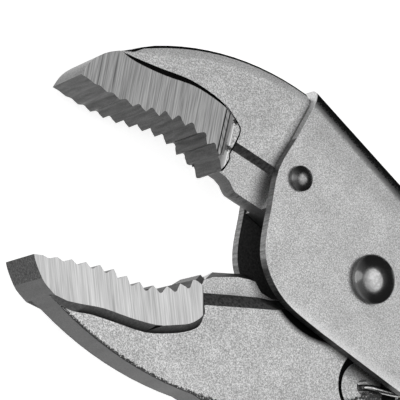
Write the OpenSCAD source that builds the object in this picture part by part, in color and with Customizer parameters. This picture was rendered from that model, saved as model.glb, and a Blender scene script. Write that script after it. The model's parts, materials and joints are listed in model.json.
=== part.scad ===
// Curved-jaw locking pliers with a wire cutter, 250 mm long, jaws open.
// The outlines are drawn about the main pivot: X runs to the handles, Y to the back of the
// fixed handle, and Z along the pivots. The finished part stands on the middle of its base.

/* [Jaws] */
// Thickness of both forged jaw bodies
jaw_t = 7.4; // [7:0.1:7.7]
// Width of the gripping faces across the teeth
grip_w = 11.4; // [10:0.1:12]
// Width of the lower step behind the upper teeth
step_w = 9.2; // [8.4:0.1:9.8]
// Thickness of the wire cutter blades
cutter_t = 4.1; // [3.6:0.1:4.8]
// Distance from tooth to tooth
tooth_pitch = 2.78; // [2.7:0.01:2.82]
// Depth of the full teeth
tooth_depth = 1.25; // [0.8:0.05:1.4]
// How far the lower jaw turns to close, in degrees
jaw_travel = 27.2; // [20:0.1:27.2]
// Radius of the lower jaw round the main pivot
knuckle_r = 10.3; // [9.5:0.1:10.4]

/* [Handles] */
// Thickness of the pressed handle sheet
sheet_t = 1.95; // [1.8:0.05:2]
// Clear width inside both handles
channel_w = 7.95; // [7.95:0.05:8.2]
// Outer radius of the long bends of the handles
bend_r = 5; // [4.5:0.1:5.5]
// How far the moving handle stands open, in degrees
handle_open = 28.9; // [27:0.1:30]
// Radius of the moving handle's ears round their rivet
ear_r = 5.1; // [4.8:0.1:5.4]

/* [Linkage] */
// Distance from the jaw's tail rivet to the link rivet
handle_arm = 47; // [45:0.5:48]
// Length of the toggle link from its rivet to the screw
link_length = 70.5; // [70:0.1:71]
// Thickness of the toggle link
link_t = 6; // [5:0.1:6.4]
// Free play between the toggle link and the screw
link_play = 3.1; // [2.9:0.1:3.4]

/* [Rivets] */
// Shank diameter of the main pivot rivet
main_rivet_d = 8; // [7:0.1:8.5]
// Head diameter of the main pivot rivet
main_head_d = 9.5; // [9:0.1:11]
// Head height of the main pivot rivet
main_head_h = 2.4; // [2:0.1:2.8]
// Shank diameter of the two upper jaw rivets
jaw_rivet_d = 2.8; // [2.4:0.1:3]
// Head diameter of the two upper jaw rivets
jaw_head_d = 4.9; // [4.6:0.1:5.4]
// Shank diameter of the moving handle's rivet
tail_rivet_d = 6; // [5.5:0.1:6.5]
// Shank diameter of the toggle link rivet
link_rivet_d = 5; // [4.5:0.1:5.5]
// Shank diameter of the release lever rivet
lever_rivet_d = 4; // [3.5:0.1:4.5]
// Clearance between a turning part and its rivet, on the radius
running_gap = 0.05; // [0.02:0.01:0.09]

/* [Adjusting screw] */
// Diameter of the screw
screw_d = 7.2; // [6.6:0.1:7.2]
// Pitch of the screw's thread
thread_pitch = 1.5; // [1.25:0.05:1.75]
// Depth of the thread
thread_depth = 0.75; // [0.5:0.05:0.9]
// Diameter of the knurled knob
knob_d = 16.4; // [15:0.1:17]
// Length of the knurled knob
knob_length = 19; // [16:0.5:22]
// Number of ridges round the knob
knob_ridges = 30; // [24:1:36]

/* [Spring] */
// Diameter of the spring wire
wire_d = 1.3; // [1:0.05:1.4]
// Radius of the coils at the middle of the wire
coil_r = 2.7; // [2.6:0.05:2.8]
// Number of turns
coil_turns = 16; // [8:1:17]
// Distance from turn to turn
coil_pitch = 1.85; // [1.8:0.01:1.9]

/* [Hidden] */
$fn = 48;

// Middle of the base seen from the main pivot
base_middle = [54.35, -42.4, -8.33];

// Places of the pivots, with the jaws open
tail_pivot = [13.5, -24.5];
screw_tip = [115, -2];
front_rivet_at = [-23.2, 5.9];
rear_rivet_at = [6.6, 13];
spring_hole = [11.8, -16.2];
anchor_hole = [57, 5.4];
lever_pivot = [86, -4];

half_jaw = jaw_t / 2;
half_grip = grip_w / 2;
half_step = step_w / 2;
half_cutter = cutter_t / 2;
outer_w = channel_w + 2 * sheet_t;
half_outer = outer_w / 2;

// Plain steel colours
forged = [0.62, 0.61, 0.59];
pressed = [0.70, 0.69, 0.67];
polished = [0.82, 0.82, 0.82];
dark_steel = [0.45, 0.45, 0.46];

// Arc of n steps about c
function arc(c, r, from, to, n = 12) =
    [for (i = [0:n]) let (a = from + (to - from) * i / n) c + r * [cos(a), sin(a)]];

// Smooth line through the points p, n steps to each stretch
function curve(p, n = 5) = let (last = len(p) - 1) concat(
    [for (i = [0:last - 1], j = [0:n - 1])
        let (t = j / n, a = p[max(i - 1, 0)], b = p[i], c = p[i + 1], d = p[min(i + 2, last)])
        0.5 * (2 * b + (c - a) * t + (2 * a - 5 * b + 4 * c - d) * t * t
            + (3 * b - a - 3 * c + d) * t * t * t)],
    [p[last]]);

function turned(p, a) = [p.x * cos(a) - p.y * sin(a), p.x * sin(a) + p.y * cos(a)];
function reversed(p) = [for (i = [len(p) - 1:-1:0]) p[i]];
function twice_area(p, n) =
    [for (i = [0:n - 1]) p[i].x * p[(i + 1) % n].y - p[(i + 1) % n].x * p[i].y] * [for (i = [1:n]) 1];
function anticlockwise(p) = twice_area(p, len(p)) > 0 ? p : reversed(p);

// Triangles that fill an anticlockwise outline p, by cutting off one free corner after another
function bend(a, b, c) = (b.x - a.x) * (c.y - a.y) - (b.y - a.y) * (c.x - a.x);
function is_free(p, left, i) =
    let (n = len(left), a = p[left[(i + n - 1) % n]], b = p[left[i]], c = p[left[(i + 1) % n]])
    bend(a, b, c) > 1e-6 && len([for (k = left) let (q = p[k])
        if (q != a && q != b && q != c && bend(a, b, q) >= 0 && bend(b, c, q) >= 0
            && bend(c, a, q) >= 0) 1]) == 0;
function next_free(p, left, i, tried = 0) = let (n = len(left))
    tried > n || is_free(p, left, i % n) ? i % n : next_free(p, left, i + 1, tried + 1);
function filled(p) =
    [for (left = [for (i = [0:len(p) - 1]) i], i = next_free(p, left, 0);
        len(left) > 2;
        left = [for (k = [0:len(left) - 1]) if (k != i) left[k]],
        i = len(left) > 2 ? next_free(p, left, i) : 0)
        let (n = len(left)) [left[(i + n - 1) % n], left[i], left[(i + 1) % n]]];

// Solid through a stack of outlines with the same number of points, at the heights z
module stack(outlines, z) {
    n = len(outlines[0]);
    top = len(z) - 1;
    rings = [for (p = outlines) anticlockwise(p)];
    points = [for (k = [0:top], p = rings[k]) [p.x, p.y, z[k]]];
    sides = [for (k = [0:top - 1], i = [0:n - 1])
        let (a = k * n + i, b = k * n + (i + 1) % n)
        each [[a, a + n, b + n], [a, b + n, b]]];
    ends = concat(filled(rings[0]), [for (t = filled(rings[top])) top * n * [1, 1, 1] + reversed(t)]);
    polyhedron(points = points, faces = concat(sides, ends));
}

// The same on both sides of the middle plane, from the outline at z[0] out to the last one
module both_sides(outlines, z) {
    start = z[0] == 0 ? 1 : 0;
    last = len(z) - 1;
    stack(concat(reversed(outlines), [for (i = [start:last]) outlines[i]]),
        concat([for (v = reversed(z)) -v], [for (i = [start:last]) z[i]]));
}

module slab(outline, thickness) {
    linear_extrude(thickness, center = true) polygon(outline);
}

module bore(at, d) {
    translate(at) cylinder(d = d, h = 60, center = true);
}

// Rivet through both walls of a handle. Each head has a low rim, 0.35 of its height, and a dome.
module rivet(at, shank_d, head_d, head_h) {
    rim_h = head_h * 0.35;
    dome_h = head_h - rim_h;
    dome_r = (head_d * head_d / 4 + dome_h * dome_h) / (2 * dome_h);
    translate(at) {
        cylinder(d = shank_d, h = outer_w + 0.2, center = true);
        for (side = [0, 1]) mirror([0, 0, side]) intersection() {
            translate([0, 0, half_outer + head_h - dome_r]) sphere(dome_r, $fn = 96);
            translate([0, 0, half_outer]) cylinder(d = head_d, h = head_h + 1);
        }
    }
}

// Teeth
// A tooth line becomes a list of [length so far, x, y], so that teeth sit at equal steps on it.
function measured(line) = let (last = len(line) - 1)
    [for (i = 0, s = 0; i <= last; s = s + norm(line[min(i + 1, last)] - line[i]), i = i + 1)
        [s, line[i].x, line[i].y]];
function on_line(m, s) =
    [lookup(s, [for (v = m) [v[0], v[1]]]), lookup(s, [for (v = m) [v[0], v[2]]])];
function beside(m, s, depth) =
    let (d = on_line(m, s + 0.6) - on_line(m, s - 0.6)) on_line(m, s) + depth * [-d.y, d.x] / norm(d);

// Round root of a tooth, as [part of the pitch from its middle, part of its depth]
round_root = [[-0.2, 0.62], [-0.1, 0.92], [0.02, 1], [0.14, 0.86], [0.23, 0.58]];
// Teeth from the nose back: each has a crest on the line and a round root cut into the metal.
// They are full after the worn ones, and the roots lie further back from tooth to tooth.
function teeth(line, first, count, worn, root_from, root_to, depth) = let (m = measured(line))
    [for (k = [0:count - 1])
        let (crest = first + k * tooth_pitch,
            root = crest + (root_from + (root_to - root_from) * k / count) * tooth_pitch,
            full = depth * min(1, max(0.08, 0.3 + 0.16 * (k - worn))))
        each k == count - 1 ? [on_line(m, crest)] : concat([on_line(m, crest)],
            [for (r = round_root) beside(m, root + r[0] * tooth_pitch, full * r[1])])];

upper_teeth = teeth(curve([[-69.3, -7.8], [-65, -7.3], [-61, -6.6], [-57, -5.45], [-53, -3.75],
    [-49.2, -2.05], [-45, -1.25], [-42, -1.6], [-38.9, -1.6], [-36.6, -3]], 4),
    0.25, 12, 1.5, 0.42, 0.42, tooth_depth);
lower_teeth = teeth(curve([[-58.3, -40], [-51.9, -36.1], [-44.8, -32.5], [-39.3, -31.2],
    [-34.4, -28.4], [-30, -23.2]]), 1.9, 12, 0, 0.42, 0.56, -tooth_depth);

// Upper jaw
// Back of the jaw: one long arc whose edge is rounded over by rounding
arch_middle = [-22.9, -31.2];
arch_r = 53.8;
function arch(rounding) = [for (a = [142:-3:97])
    arch_middle + (arch_r - rounding * min(1, (142 - a) / 9)) * [cos(a), sin(a)]];
// Tail of the jaw, which lies in the fixed handle and curves round the lower jaw. Its back edge
// drops where the handle's bend needs the room.
function tail(drop) = concat([[-25.5, 21 - drop], [12.3, 16.4 - drop], [14.3, 14.4 - drop], [14.3, 10]],
    arc([0, 0], knuckle_r + 0.4, 38, 193, 18));
// Edge below: above the cutter it is the top of the cutter's recess
function recess_edge(drop) =
    [[-20, -2.4], [-25, -2.2], [-25.3, 4], [-26.6, 5.4 - drop], [-28.6, 5.2 - drop], [-36.4, 4 - drop]];
cutter_edge = [[-20, -2.4], [-25.15, -2.37], [-26.95, -2.62], [-28.95, -2.97], [-31.25, -3.27], [-31.95, -3.07],
    [-33.25, -2.37], [-34.75, -2.12], [-36.75, -2.37]];
cutter_ridge = [[-20, -2.4], [-25.15, -2.77], [-26.95, -3.12], [-28.95, -3.52], [-31.15, -3.87], [-32.15, -3.57],
    [-33.25, -2.67], [-34.75, -2.27], [-36.75, -2.47]];
inside_boss = [[-46, 2.5], [-56, 0], [-64, -2]];
function upper_body(rounding, edge, drop = 0) =
    concat(arch(rounding), tail(drop), edge, inside_boss);

upper_nose = curve([[-69.3, -7.8], [-69.2, -4.7], [-67.9, -1.5], [-66, 0.8]], 3);
function upper_boss(top, rear) = concat(upper_nose, curve(top, 4), rear, reversed(upper_teeth));

module upper_jaw() color(forged) difference() {
    union() {
        both_sides([upper_body(-0.6, cutter_ridge), upper_body(-0.45, cutter_edge)], [0, half_cutter]);
        both_sides([upper_body(-0.45, recess_edge(1.1)), upper_body(0.2, recess_edge(0.5), 0.5),
            upper_body(2, recess_edge(0), 1.4)], [half_cutter - 0.01, half_jaw - 0.9, half_jaw]);
        both_sides([
            upper_boss([[-65.3, 2], [-61.9, 3.1], [-57, 4.9], [-51.2, 7.2], [-45.4, 8.2], [-41.3, 8],
                [-39.2, 7.1]], [[-37.3, 0], [-38.9, -1.4]]),
            upper_boss([[-64.6, 1], [-61.3, 1.6], [-56.1, 3.3], [-50.4, 5.7], [-45.3, 6.6], [-42.7, 6.7],
                [-41.8, 6.5]], [[-39.2, -0.8], [-39, -1.35]])],
            [half_jaw, half_grip]);
        slab(concat(curve([[-43, 7.9], [-40.2, 7.35], [-38, 6.5], [-37.3, 5.2], [-37, 2.8], [-36.9, 0.8],
            [-36.4, 0.1], [-36.3, -1.5], [-36.4, -2.6], [-36.75, -3], [-37.3, -2.6], [-37.9, -1.95],
            [-38.4, -1.6], [-39, -1.4]], 2), [[-41, 1.5]]), step_w);
    }
    bore(front_rivet_at, jaw_rivet_d);
    bore(rear_rivet_at, jaw_rivet_d);
}

// Lower jaw
lower_nose = curve([[-58.2, -39.9], [-57.4, -40.6], [-55.9, -41.6], [-53.8, -42.7], [-51, -43.25]], 3);
lower_back = concat(arc([-40.1, 22.5], 66.4, -97, -71, 10),
    curve([[-8.6, -39.3], [3, -37.2], [9.9, -35.4]], 4));
function tail_round(r) = arc(tail_pivot, r, -108, 18, 12);
lug_edge = [[17.5, -16.9], [15.4, -14.3], [14.5, -13], [13, -9]];
knuckle = arc([0, 0], knuckle_r, -22, 225, 30);
function lower_body(top, tail_r = 7) =
    concat(lower_nose, lower_back, tail_round(tail_r), lug_edge, knuckle, top);
blade_edge = [[-10.8, -13], [-14, -15], [-16.35, -15.37], [-17.45, -14.97], [-18.55, -14.47], [-19.75, -14.87],
    [-22.05, -16.07], [-26.25, -19.37], [-27.35, -20.87], [-28.45, -22.77], [-34, -29.5], [-45, -34], [-55, -39]];
blade_ridge = [[-10.8, -13], [-14, -15], [-16.35, -15.27], [-17.35, -14.47], [-18.55, -13.37], [-20.15, -13.67],
    [-21.65, -14.67], [-26.05, -17.77], [-27.05, -19.57], [-28.45, -22.37], [-34, -29.5], [-45, -34], [-55, -39]];
shoulder = [[-10.8, -13], [-14, -15.3], [-16.6, -16.6], [-18.4, -17.8], [-21, -19.5], [-25.6, -22.6],
    [-27.6, -24], [-34, -29.5], [-45, -34], [-55, -39]];
face_top = [[-10.8, -14.5], [-12, -16.2], [-12.8, -16.9], [-15.5, -18.7], [-18.6, -20.8], [-25.2, -25.3],
    [-27.6, -26.6], [-34, -30.5], [-45, -35], [-55, -39.5]];

function lower_boss(last_tooth, below) = concat(lower_teeth, last_tooth, curve(below, 3),
    reversed(lower_nose));

module lower_jaw() color(forged) difference() {
    union() {
        both_sides([lower_body(blade_ridge), lower_body(blade_edge)], [0, half_cutter]);
        both_sides([lower_body(shoulder), lower_body(face_top, 5.8)], [half_cutter - 0.01, half_jaw]);
        both_sides([
            lower_boss([[-30.2, -23.6], [-29.2, -21.4], [-28.2, -21.6], [-27.9, -23]],
                [[-24.4, -27.6], [-24.3, -29.6], [-26, -32], [-28.7, -34.4], [-32.6, -37.1],
                [-38.4, -39.3], [-42.8, -41], [-46, -42.7], [-48.5, -43.3]]),
            lower_boss([[-30.3, -23.8], [-29.9, -23.7], [-28.9, -23.65], [-28.5, -23.6]],
                [[-25.4, -27.5], [-25.7, -29], [-26.8, -31], [-29, -33], [-32, -35.3],
                [-37, -37.5], [-42, -39.3], [-46.2, -41.5], [-48.4, -42.6]])],
            [half_jaw, half_grip]);
    }
    bore([0, 0], main_rivet_d + 2 * running_gap);
    bore(tail_pivot, tail_rivet_d + 2 * running_gap);
    bore(spring_hole, 3);
    // Hollows that let the spring's hook lie beside the tail
    for (side = [0, 1]) mirror([0, 0, side])
        translate([spring_hole.x, spring_hole.y, 1.7])
            cylinder(r1 = 5, r2 = 7.1, h = half_jaw - 1.7 + 0.01);
}

// Handles
// Half of a bent sheet's middle line, with the normal: flat top, bend and leg.
// Each row is [z, y, normal z, normal y], with y = 0 at the top.
bend_steps = 10;
function half_line(flat, r, turn, leg) = concat(
    [for (i = [0:bend_steps]) let (a = turn * i / bend_steps) [flat + r * sin(a), r * cos(a) - r, sin(a), cos(a)]],
    [[flat + r * sin(turn) + leg * cos(turn), r * cos(turn) - r - leg * sin(turn),
        sin(turn), cos(turn)]]);
// Closed outline of the bent sheet, as [z, y] points round its thickness
function bent_sheet(flat, r, turn, leg, k) = let (h = half_line(flat, r, turn, leg))
    concat([for (v = h) [v[0] + k * v[2], v[1] + k * v[3]]],
        [for (v = reversed(h)) [v[0] - k * v[2], v[1] - k * v[3]]],
        [for (v = h) [-v[0] + k * v[2], v[1] - k * v[3]]],
        [for (v = reversed(h)) [-v[0] - k * v[2], v[1] + k * v[3]]]);

// Sheet that follows a back line of [x, y] stations. Each section is a channel with legs down
// to the depth leg_to. At roll_from its bends have grown round the screw. From there to roll_to
// it rolls up into a tube, whose legs stop where they would meet under the screw.
tube_bore_r = screw_d / 2 + running_gap;
tube_outer_r = tube_bore_r + sheet_t;
tube_k = sheet_t / 2 - 0.05;
tube_r = tube_outer_r - 0.03 - tube_k;
roll_r = screw_d / 2 + 0.35 + sheet_t / 2;
channel_r = bend_r - sheet_t / 2;
function blend(a, b, t) = a + (b - a) * t;
function eased(t) = let (u = min(1, max(0, t))) u * u * (3 - 2 * u);
function section(x, back_y, leg_to, roll_from, roll_to) =
    let (grow = eased((x - roll_from + 5) / 6), close = eased((x - roll_to + 5) / 5),
        roll = eased((x - roll_from) / (roll_to - roll_from)),
        r = blend(blend(channel_r, roll_r, grow), tube_r, close),
        flat = blend(half_outer - sheet_t / 2 - r, 0, roll),
        turn = blend(90, 172, roll), k = blend(sheet_t / 2, tube_k, close),
        meet = turn > 91 ? (flat + r * sin(turn) - 1.3) / -cos(turn) : 1000,
        leg = max(0.3, min(back_y - k - r - leg_to, meet)))
    [for (p = bent_sheet(flat, r, turn, leg, k)) [x, back_y - k + p.y, p.x]];
module channel(back, leg_to, roll_from = 1000, roll_to = 1001) {
    rings = [for (p = back) section(p.x, p.y, leg_to, roll_from, roll_to)];
    n = len(rings[0]);
    top = len(rings) - 1;
    sides = [for (k = [0:top - 1], i = [0:n - 1])
        let (a = k * n + i, b = k * n + (i + 1) % n)
        each [[a, b + n, b], [a, a + n, b + n]]];
    end = filled([for (q = rings[0]) [-q.z, q.y]]);
    far_end = filled([for (q = rings[top]) [-q.z, q.y]]);
    ends = concat(end, [for (t = far_end) top * n * [1, 1, 1] + reversed(t)]);
    polyhedron(points = [for (r = rings) each r], faces = concat(sides, ends));
}

handle_end = 152;
tube_from = 131;
tube_top = screw_tip.y + tube_outer_r - 0.03;
upper_back = concat(curve([[-30, 24.55], [-3, 21.7], [20, 18.7], [45, 14.9], [70, 11.1], [95, 7.7],
    [105, 6.3], [112, 5.05]], 3),
    curve([[114, 4.6], [118, 3.95], [122, 3.88], [126, 3.87], [128.5, 3.75], [tube_from, tube_top]], 2),
    [[tube_from + 0.6, tube_top]]);
upper_side = concat([[handle_end + 1, 40], [-28.6, 40], [-28.6, 24]],
    curve([[-28, 12], [-27.8, 4.5], [-25.1, -2.6], [-22.6, -8.6], [-20, -12], [-16, -14.4],
        [-11, -15.5], [-3, -15.3]], 4),
    curve([[16, -14], [30, -12.3], [50, -9], [80, -7.4], [105, -7.4], [118, -8.1]], 4),
    [[handle_end + 1, -8.1]]);

module upper_handle() color(pressed) difference() {
    union() {
        intersection() {
            channel(upper_back, -17, 117, tube_from);
            slab(upper_side, 30);
        }
        difference() {
            translate([tube_from, screw_tip.y, 0]) rotate([0, 90, 0])
                cylinder(r = tube_outer_r, h = handle_end - tube_from);
            // Seam where the rolled edges meet
            translate([tube_from - 1, screw_tip.y - 10, -0.25]) cube([40, 9, 0.5]);
        }
    }
    bore([0, 0], main_rivet_d);
    bore(front_rivet_at, jaw_rivet_d);
    bore(rear_rivet_at, jaw_rivet_d);
    translate([tube_from - 0.3, screw_tip.y, 0]) rotate([0, 90, 0])
        cylinder(r = tube_bore_r, h = 40);
    // Slot for the spring anchor
    translate([anchor_hole.x - 3, anchor_hole.y, -1]) cube([6, 20, 2]);
}

// The moving handle is drawn closed, about its rivet
handle_length = 147;
lower_spine = [[2.4, 9.35], [12, 10.4], [25, 11.6], [47, 13.2], [80, 14.8], [110, 15], [132, 14.3],
    [handle_length, 15.6]];
lower_side = concat([[2.4, -30], [2.4, -7.2], [0.6, -ear_r]], arc([0, 0], ear_r, -100, -235, 12),
    curve([[-1.2, 5.5], [2, 5.6], [10, 7.2], [20, 9.4], [34, 11.4], [46, 12], [56, 10.8], [67, 6.6],
        [80, 1.8], [100, -1.4], [125, -3.6], [141, -6.2], [146, -10], [handle_length, -15.6]], 4),
    [[handle_length, -30]]);
// Toggle: handle, link and screw tip make a triangle, which gives the place of the link's rivet
link_rest = let (d = screw_tip - tail_pivot, reach = norm(d),
        a = acos((handle_arm * handle_arm + reach * reach - link_length * link_length)
            / (2 * handle_arm * reach)),
        way = atan2(d.y, d.x) - a)
    tail_pivot + handle_arm * [cos(way), sin(way)];
link_way = let (d = screw_tip - link_rest) atan2(d.y, d.x);
link_at = turned(link_rest - tail_pivot, handle_open);

module in_lower_handle() {
    translate(tail_pivot) rotate(-handle_open) children();
}
module lower_handle() color(pressed) in_lower_handle() difference() {
    intersection() {
        mirror([0, 1, 0]) channel(concat([[-8, 9.2]], curve(lower_spine, 3)), -16);
        slab(lower_side, 30);
    }
    bore([0, 0], tail_rivet_d);
    bore(link_at, link_rivet_d);
    bore(lever_pivot, lever_rivet_d);
}

// Toggle link, drawn along X from its rivet
link_end_r = 3.6;
link_tip = link_length - link_play - link_end_r;
link_side = concat(arc([0, 0], 5.4, 250, 95, 12),
    curve([[6, 5.2], [20, 5.6], [40, 5], [56, 4], [link_tip - 1, link_end_r]], 3),
    arc([link_tip, 0], link_end_r, 80, -80, 10),
    curve([[link_tip - 1, -link_end_r], [54, -3.8], [36, -4.2], [28, -5.6], [20, -6.4], [12, -5.4],
        [4, -5.2]], 3));
module toggle_link() color(dark_steel) translate(link_rest) rotate(link_way) difference() {
    slab(link_side, link_t);
    bore([0, 0], link_rivet_d + 2 * running_gap);
}

// Release lever, drawn in the moving handle
lever_side = concat(
    curve([[66.4, -1], [67.5, 1.6], [70, 1.5], [78, 0.2], [86, 0.6], [96, -0.4], [110, -0.6], [124, 0.4],
        [134, 2.2], [139, 1.4]], 3),
    curve([[139, -0.4], [134, -1.6], [122, -3.9], [108, -5.2], [96, -6.6], [88, -8.2], [82, -7.6],
        [74, -4.4], [68.4, -2.6]], 3));
module release_lever() color(dark_steel) in_lower_handle() difference() {
    slab(lever_side, channel_w - 1.7);
    bore(lever_pivot, lever_rivet_d + 2 * running_gap);
}

// Adjusting screw and knob, drawn along Z from the tip of the screw
shank_length = 46;
knob_from = 44;
// Ribs stand for the thread: a ring groove at each pitch
module adjusting_screw() color(dark_steel) along_screw() {
    core_r = screw_d / 2 - thread_depth;
    rotate_extrude() polygon(concat([[0, 0], [core_r - 0.6, 0], [core_r, 0.8]],
        [for (z = [1.2:thread_pitch:knob_from - 3]) each
            [[core_r, z], [screw_d / 2, z + thread_pitch * 0.38],
            [screw_d / 2, z + thread_pitch * 0.5], [core_r, z + thread_pitch * 0.88]]],
        [[core_r, shank_length], [0, shank_length]]));
}
module along_screw() {
    translate([screw_tip.x, screw_tip.y, 0]) rotate([0, 90, 0]) children();
}
module adjusting_knob() color(polished) along_screw() translate([0, 0, knob_from]) difference() {
    r = knob_d / 2;
    intersection() {
        linear_extrude(knob_length) polygon([for (i = [0:knob_ridges - 1], side = [0:3])
            let (a = 360 * (i + [0, 0.3, 0.5, 0.8][side]) / knob_ridges, q = [r, r, r - 0.7, r - 0.7][side])
            q * [cos(a), sin(a)]]);
        rotate_extrude() polygon(concat([[0, 0], [r - 2.2, 0], [r + 0.1, 1.3]],
            [[r + 0.1, knob_length - 4]], arc([r - 2.4, knob_length - 4], 2.5, 12, 60, 4),
            [[3, knob_length], [0, knob_length]]));
    }
    translate([0, 0, -1])
        cylinder(r = screw_d / 2 - thread_depth + running_gap, h = shank_length - knob_from + 1.3);
}

// Spring, drawn along X from the jaw's hole to the anchor, as the middle line of its wire
spring_run = norm(anchor_hole - spring_hole);
coil_length = coil_turns * coil_pitch;
// Turning starts fast along X and settles to the coil's pitch in the first third of a turn
ease_turn = 120;
ease_reach = 2.6;
shank_run = (spring_run - coil_length) / 2;
hook = [[0, -3], [0, -1], [0, 1.1], [0.3, 2.1], [1.2, coil_r], [3, coil_r], [6, coil_r]];
rings_per_turn = 8;
function coil_x(a) = let (whole = coil_turns * 360, lead = min(a, whole - a))
    a / 360 * coil_pitch
    + (lead >= ease_turn ? 0 : (a < whole / 2 ? -1 : 1) * ease_reach * pow(1 - lead / ease_turn, 2));
spring_line = concat(
    [for (p = hook) [p.x, 0, p.y]],
    [for (i = [0:coil_turns * rings_per_turn]) let (a = i * 360 / rings_per_turn)
        [shank_run + coil_x(a), coil_r * sin(a), coil_r * cos(a)]],
    [for (p = reversed(hook)) [spring_run - p.x, 0, p.y]]);

function unit(v) = v / norm(v);
// Tube of six sides along a line, each ring turned on from the one before it
function frames(line) = let (last = len(line) - 1)
    [for (i = 0, t = unit(line[1] - line[0]), u = [0, 1, 0]; i <= last;
        i = i + 1,
        t = i > last ? t : unit(line[min(i + 1, last)] - line[i - 1]),
        u = unit(u - (u * t) * t))
        [line[i], u, cross(t, u)]];
module wire(line, d) {
    rings = frames(line);
    n = 6;
    top = len(rings) - 1;
    points = [for (f = rings, j = [0:n - 1]) f[0] + d / 2 * (f[1] * cos(j * 60) + f[2] * sin(j * 60))];
    sides = [for (k = [0:top - 1], j = [0:n - 1])
        let (a = k * n + j, b = k * n + (j + 1) % n)
        each [[a, a + n, b + n], [a, b + n, b]]];
    ends = [[for (j = [0:n - 1]) j], [for (j = [n - 1:-1:0]) top * n + j]];
    polyhedron(points = points, faces = concat(sides, ends));
}

// Least gap of the wire to itself, between points more than half a turn apart
least_gap = min([for (i = [0:len(spring_line) - 1], j = [i + 5:1:len(spring_line) - 1])
    norm(spring_line[i] - spring_line[j])]) - wire_d;
echo(spring_least_gap_mm = least_gap);

module tension_spring() color(polished)
    translate(spring_hole) rotate(atan2((anchor_hole - spring_hole).y, (anchor_hole - spring_hole).x))
        wire(spring_line, wire_d);

// Small plate that hangs from a slot in the fixed handle and holds the spring
anchor_top = 13.4;
anchor_side = concat([[54, anchor_top], [54, 7.5]], arc(anchor_hole, 3, 160, 380, 12),
    [[60, 7.5], [60, anchor_top - 0.9]]);
module spring_anchor() color(pressed) difference() {
    slab(anchor_side, 2);
    bore(anchor_hole, 2.4);
}

module upper_jaw_front_rivet() color(polished) rivet(front_rivet_at, jaw_rivet_d, jaw_head_d, 1.5);
module upper_jaw_rear_rivet() color(polished) rivet(rear_rivet_at, jaw_rivet_d, jaw_head_d, 1.5);
module main_pivot_rivet() color(polished) rivet([0, 0], main_rivet_d, main_head_d, main_head_h);
module lower_handle_rivet() color(polished) rivet(tail_pivot, tail_rivet_d, 8, 1.8);
module toggle_link_rivet() color(polished) in_lower_handle() rivet(link_at, link_rivet_d, 7.4, 1.6);
module release_lever_rivet() color(polished) in_lower_handle()
    rivet(lever_pivot, lever_rivet_d, 6, 1.4);

module on_base() {
    translate(-base_middle) children();
}
on_base() upper_handle();
on_base() upper_jaw();
on_base() upper_jaw_front_rivet();
on_base() upper_jaw_rear_rivet();
on_base() main_pivot_rivet();
on_base() lower_jaw();
on_base() lower_handle();
on_base() lower_handle_rivet();
on_base() toggle_link();
on_base() toggle_link_rivet();
on_base() release_lever();
on_base() release_lever_rivet();
on_base() adjusting_screw();
on_base() adjusting_knob();
on_base() tension_spring();
on_base() spring_anchor();
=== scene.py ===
"""Looks of the curved-jaw locking pliers: bare steel forgings, pressed sheet handles, domed rivets,
a toggle link with its release lever, an adjusting screw with a knurled knob, and a tension spring.

Places are written in millimetres from the main pivot, as the part's source has them: X runs to the
handles, Y to the back of the fixed handle and Z along the pivots.
"""

import json
import logging
import math
from contextlib import contextmanager
from dataclasses import dataclass, field
from enum import Enum
from typing import Callable, Iterator, Sequence

import bpy
from mathutils import Matrix, Vector

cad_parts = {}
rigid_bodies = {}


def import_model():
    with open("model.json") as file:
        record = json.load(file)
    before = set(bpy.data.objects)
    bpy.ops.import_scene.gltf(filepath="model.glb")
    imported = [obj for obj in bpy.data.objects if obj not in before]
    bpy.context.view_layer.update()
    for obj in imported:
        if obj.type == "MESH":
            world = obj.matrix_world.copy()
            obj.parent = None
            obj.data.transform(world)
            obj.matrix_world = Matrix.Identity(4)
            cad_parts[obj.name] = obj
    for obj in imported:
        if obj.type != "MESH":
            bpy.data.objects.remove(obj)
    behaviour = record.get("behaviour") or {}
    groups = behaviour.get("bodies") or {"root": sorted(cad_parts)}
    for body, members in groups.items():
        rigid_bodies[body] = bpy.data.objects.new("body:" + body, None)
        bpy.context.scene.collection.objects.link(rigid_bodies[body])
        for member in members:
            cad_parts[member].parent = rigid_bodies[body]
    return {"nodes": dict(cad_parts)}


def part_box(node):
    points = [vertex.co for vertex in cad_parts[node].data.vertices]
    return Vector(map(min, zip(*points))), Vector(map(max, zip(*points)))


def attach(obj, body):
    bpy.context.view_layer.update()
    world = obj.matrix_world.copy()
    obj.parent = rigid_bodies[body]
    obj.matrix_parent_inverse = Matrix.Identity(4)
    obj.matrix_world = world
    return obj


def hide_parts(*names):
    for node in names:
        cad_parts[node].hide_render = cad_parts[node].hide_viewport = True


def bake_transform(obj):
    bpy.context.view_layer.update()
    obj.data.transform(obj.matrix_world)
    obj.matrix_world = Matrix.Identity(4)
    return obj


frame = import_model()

log = logging.getLogger("locking_pliers")

MM = 0.001
WELD = 1e-6  # Points closer than this in metres are merged.
SHADE = "shade"  # Attribute that says how much the steel is darkened: painted shade on bends, corners and slopes.
LOW, HIGH = 0.3, 0.7  # Almost all of a noise lies between these.
PIVOT = sum(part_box("main_pivot_rivet"), Vector()) / 2
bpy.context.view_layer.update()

Point = tuple[float, float, float]
Tree = bpy.types.NodeTree
Socket = bpy.types.NodeSocket
Piece = bpy.types.Object


class Body(Enum):
    """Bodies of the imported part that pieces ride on."""

    FRAME = "frame"
    LOWER_JAW = "lower_jaw"
    LOWER_HANDLE = "lower_handle"
    TOGGLE_LINK = "toggle_link"
    RELEASE_LEVER = "release_lever"
    ADJUSTING_SCREW = "adjusting_screw"
    ADJUSTING_KNOB = "adjusting_knob"


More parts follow.
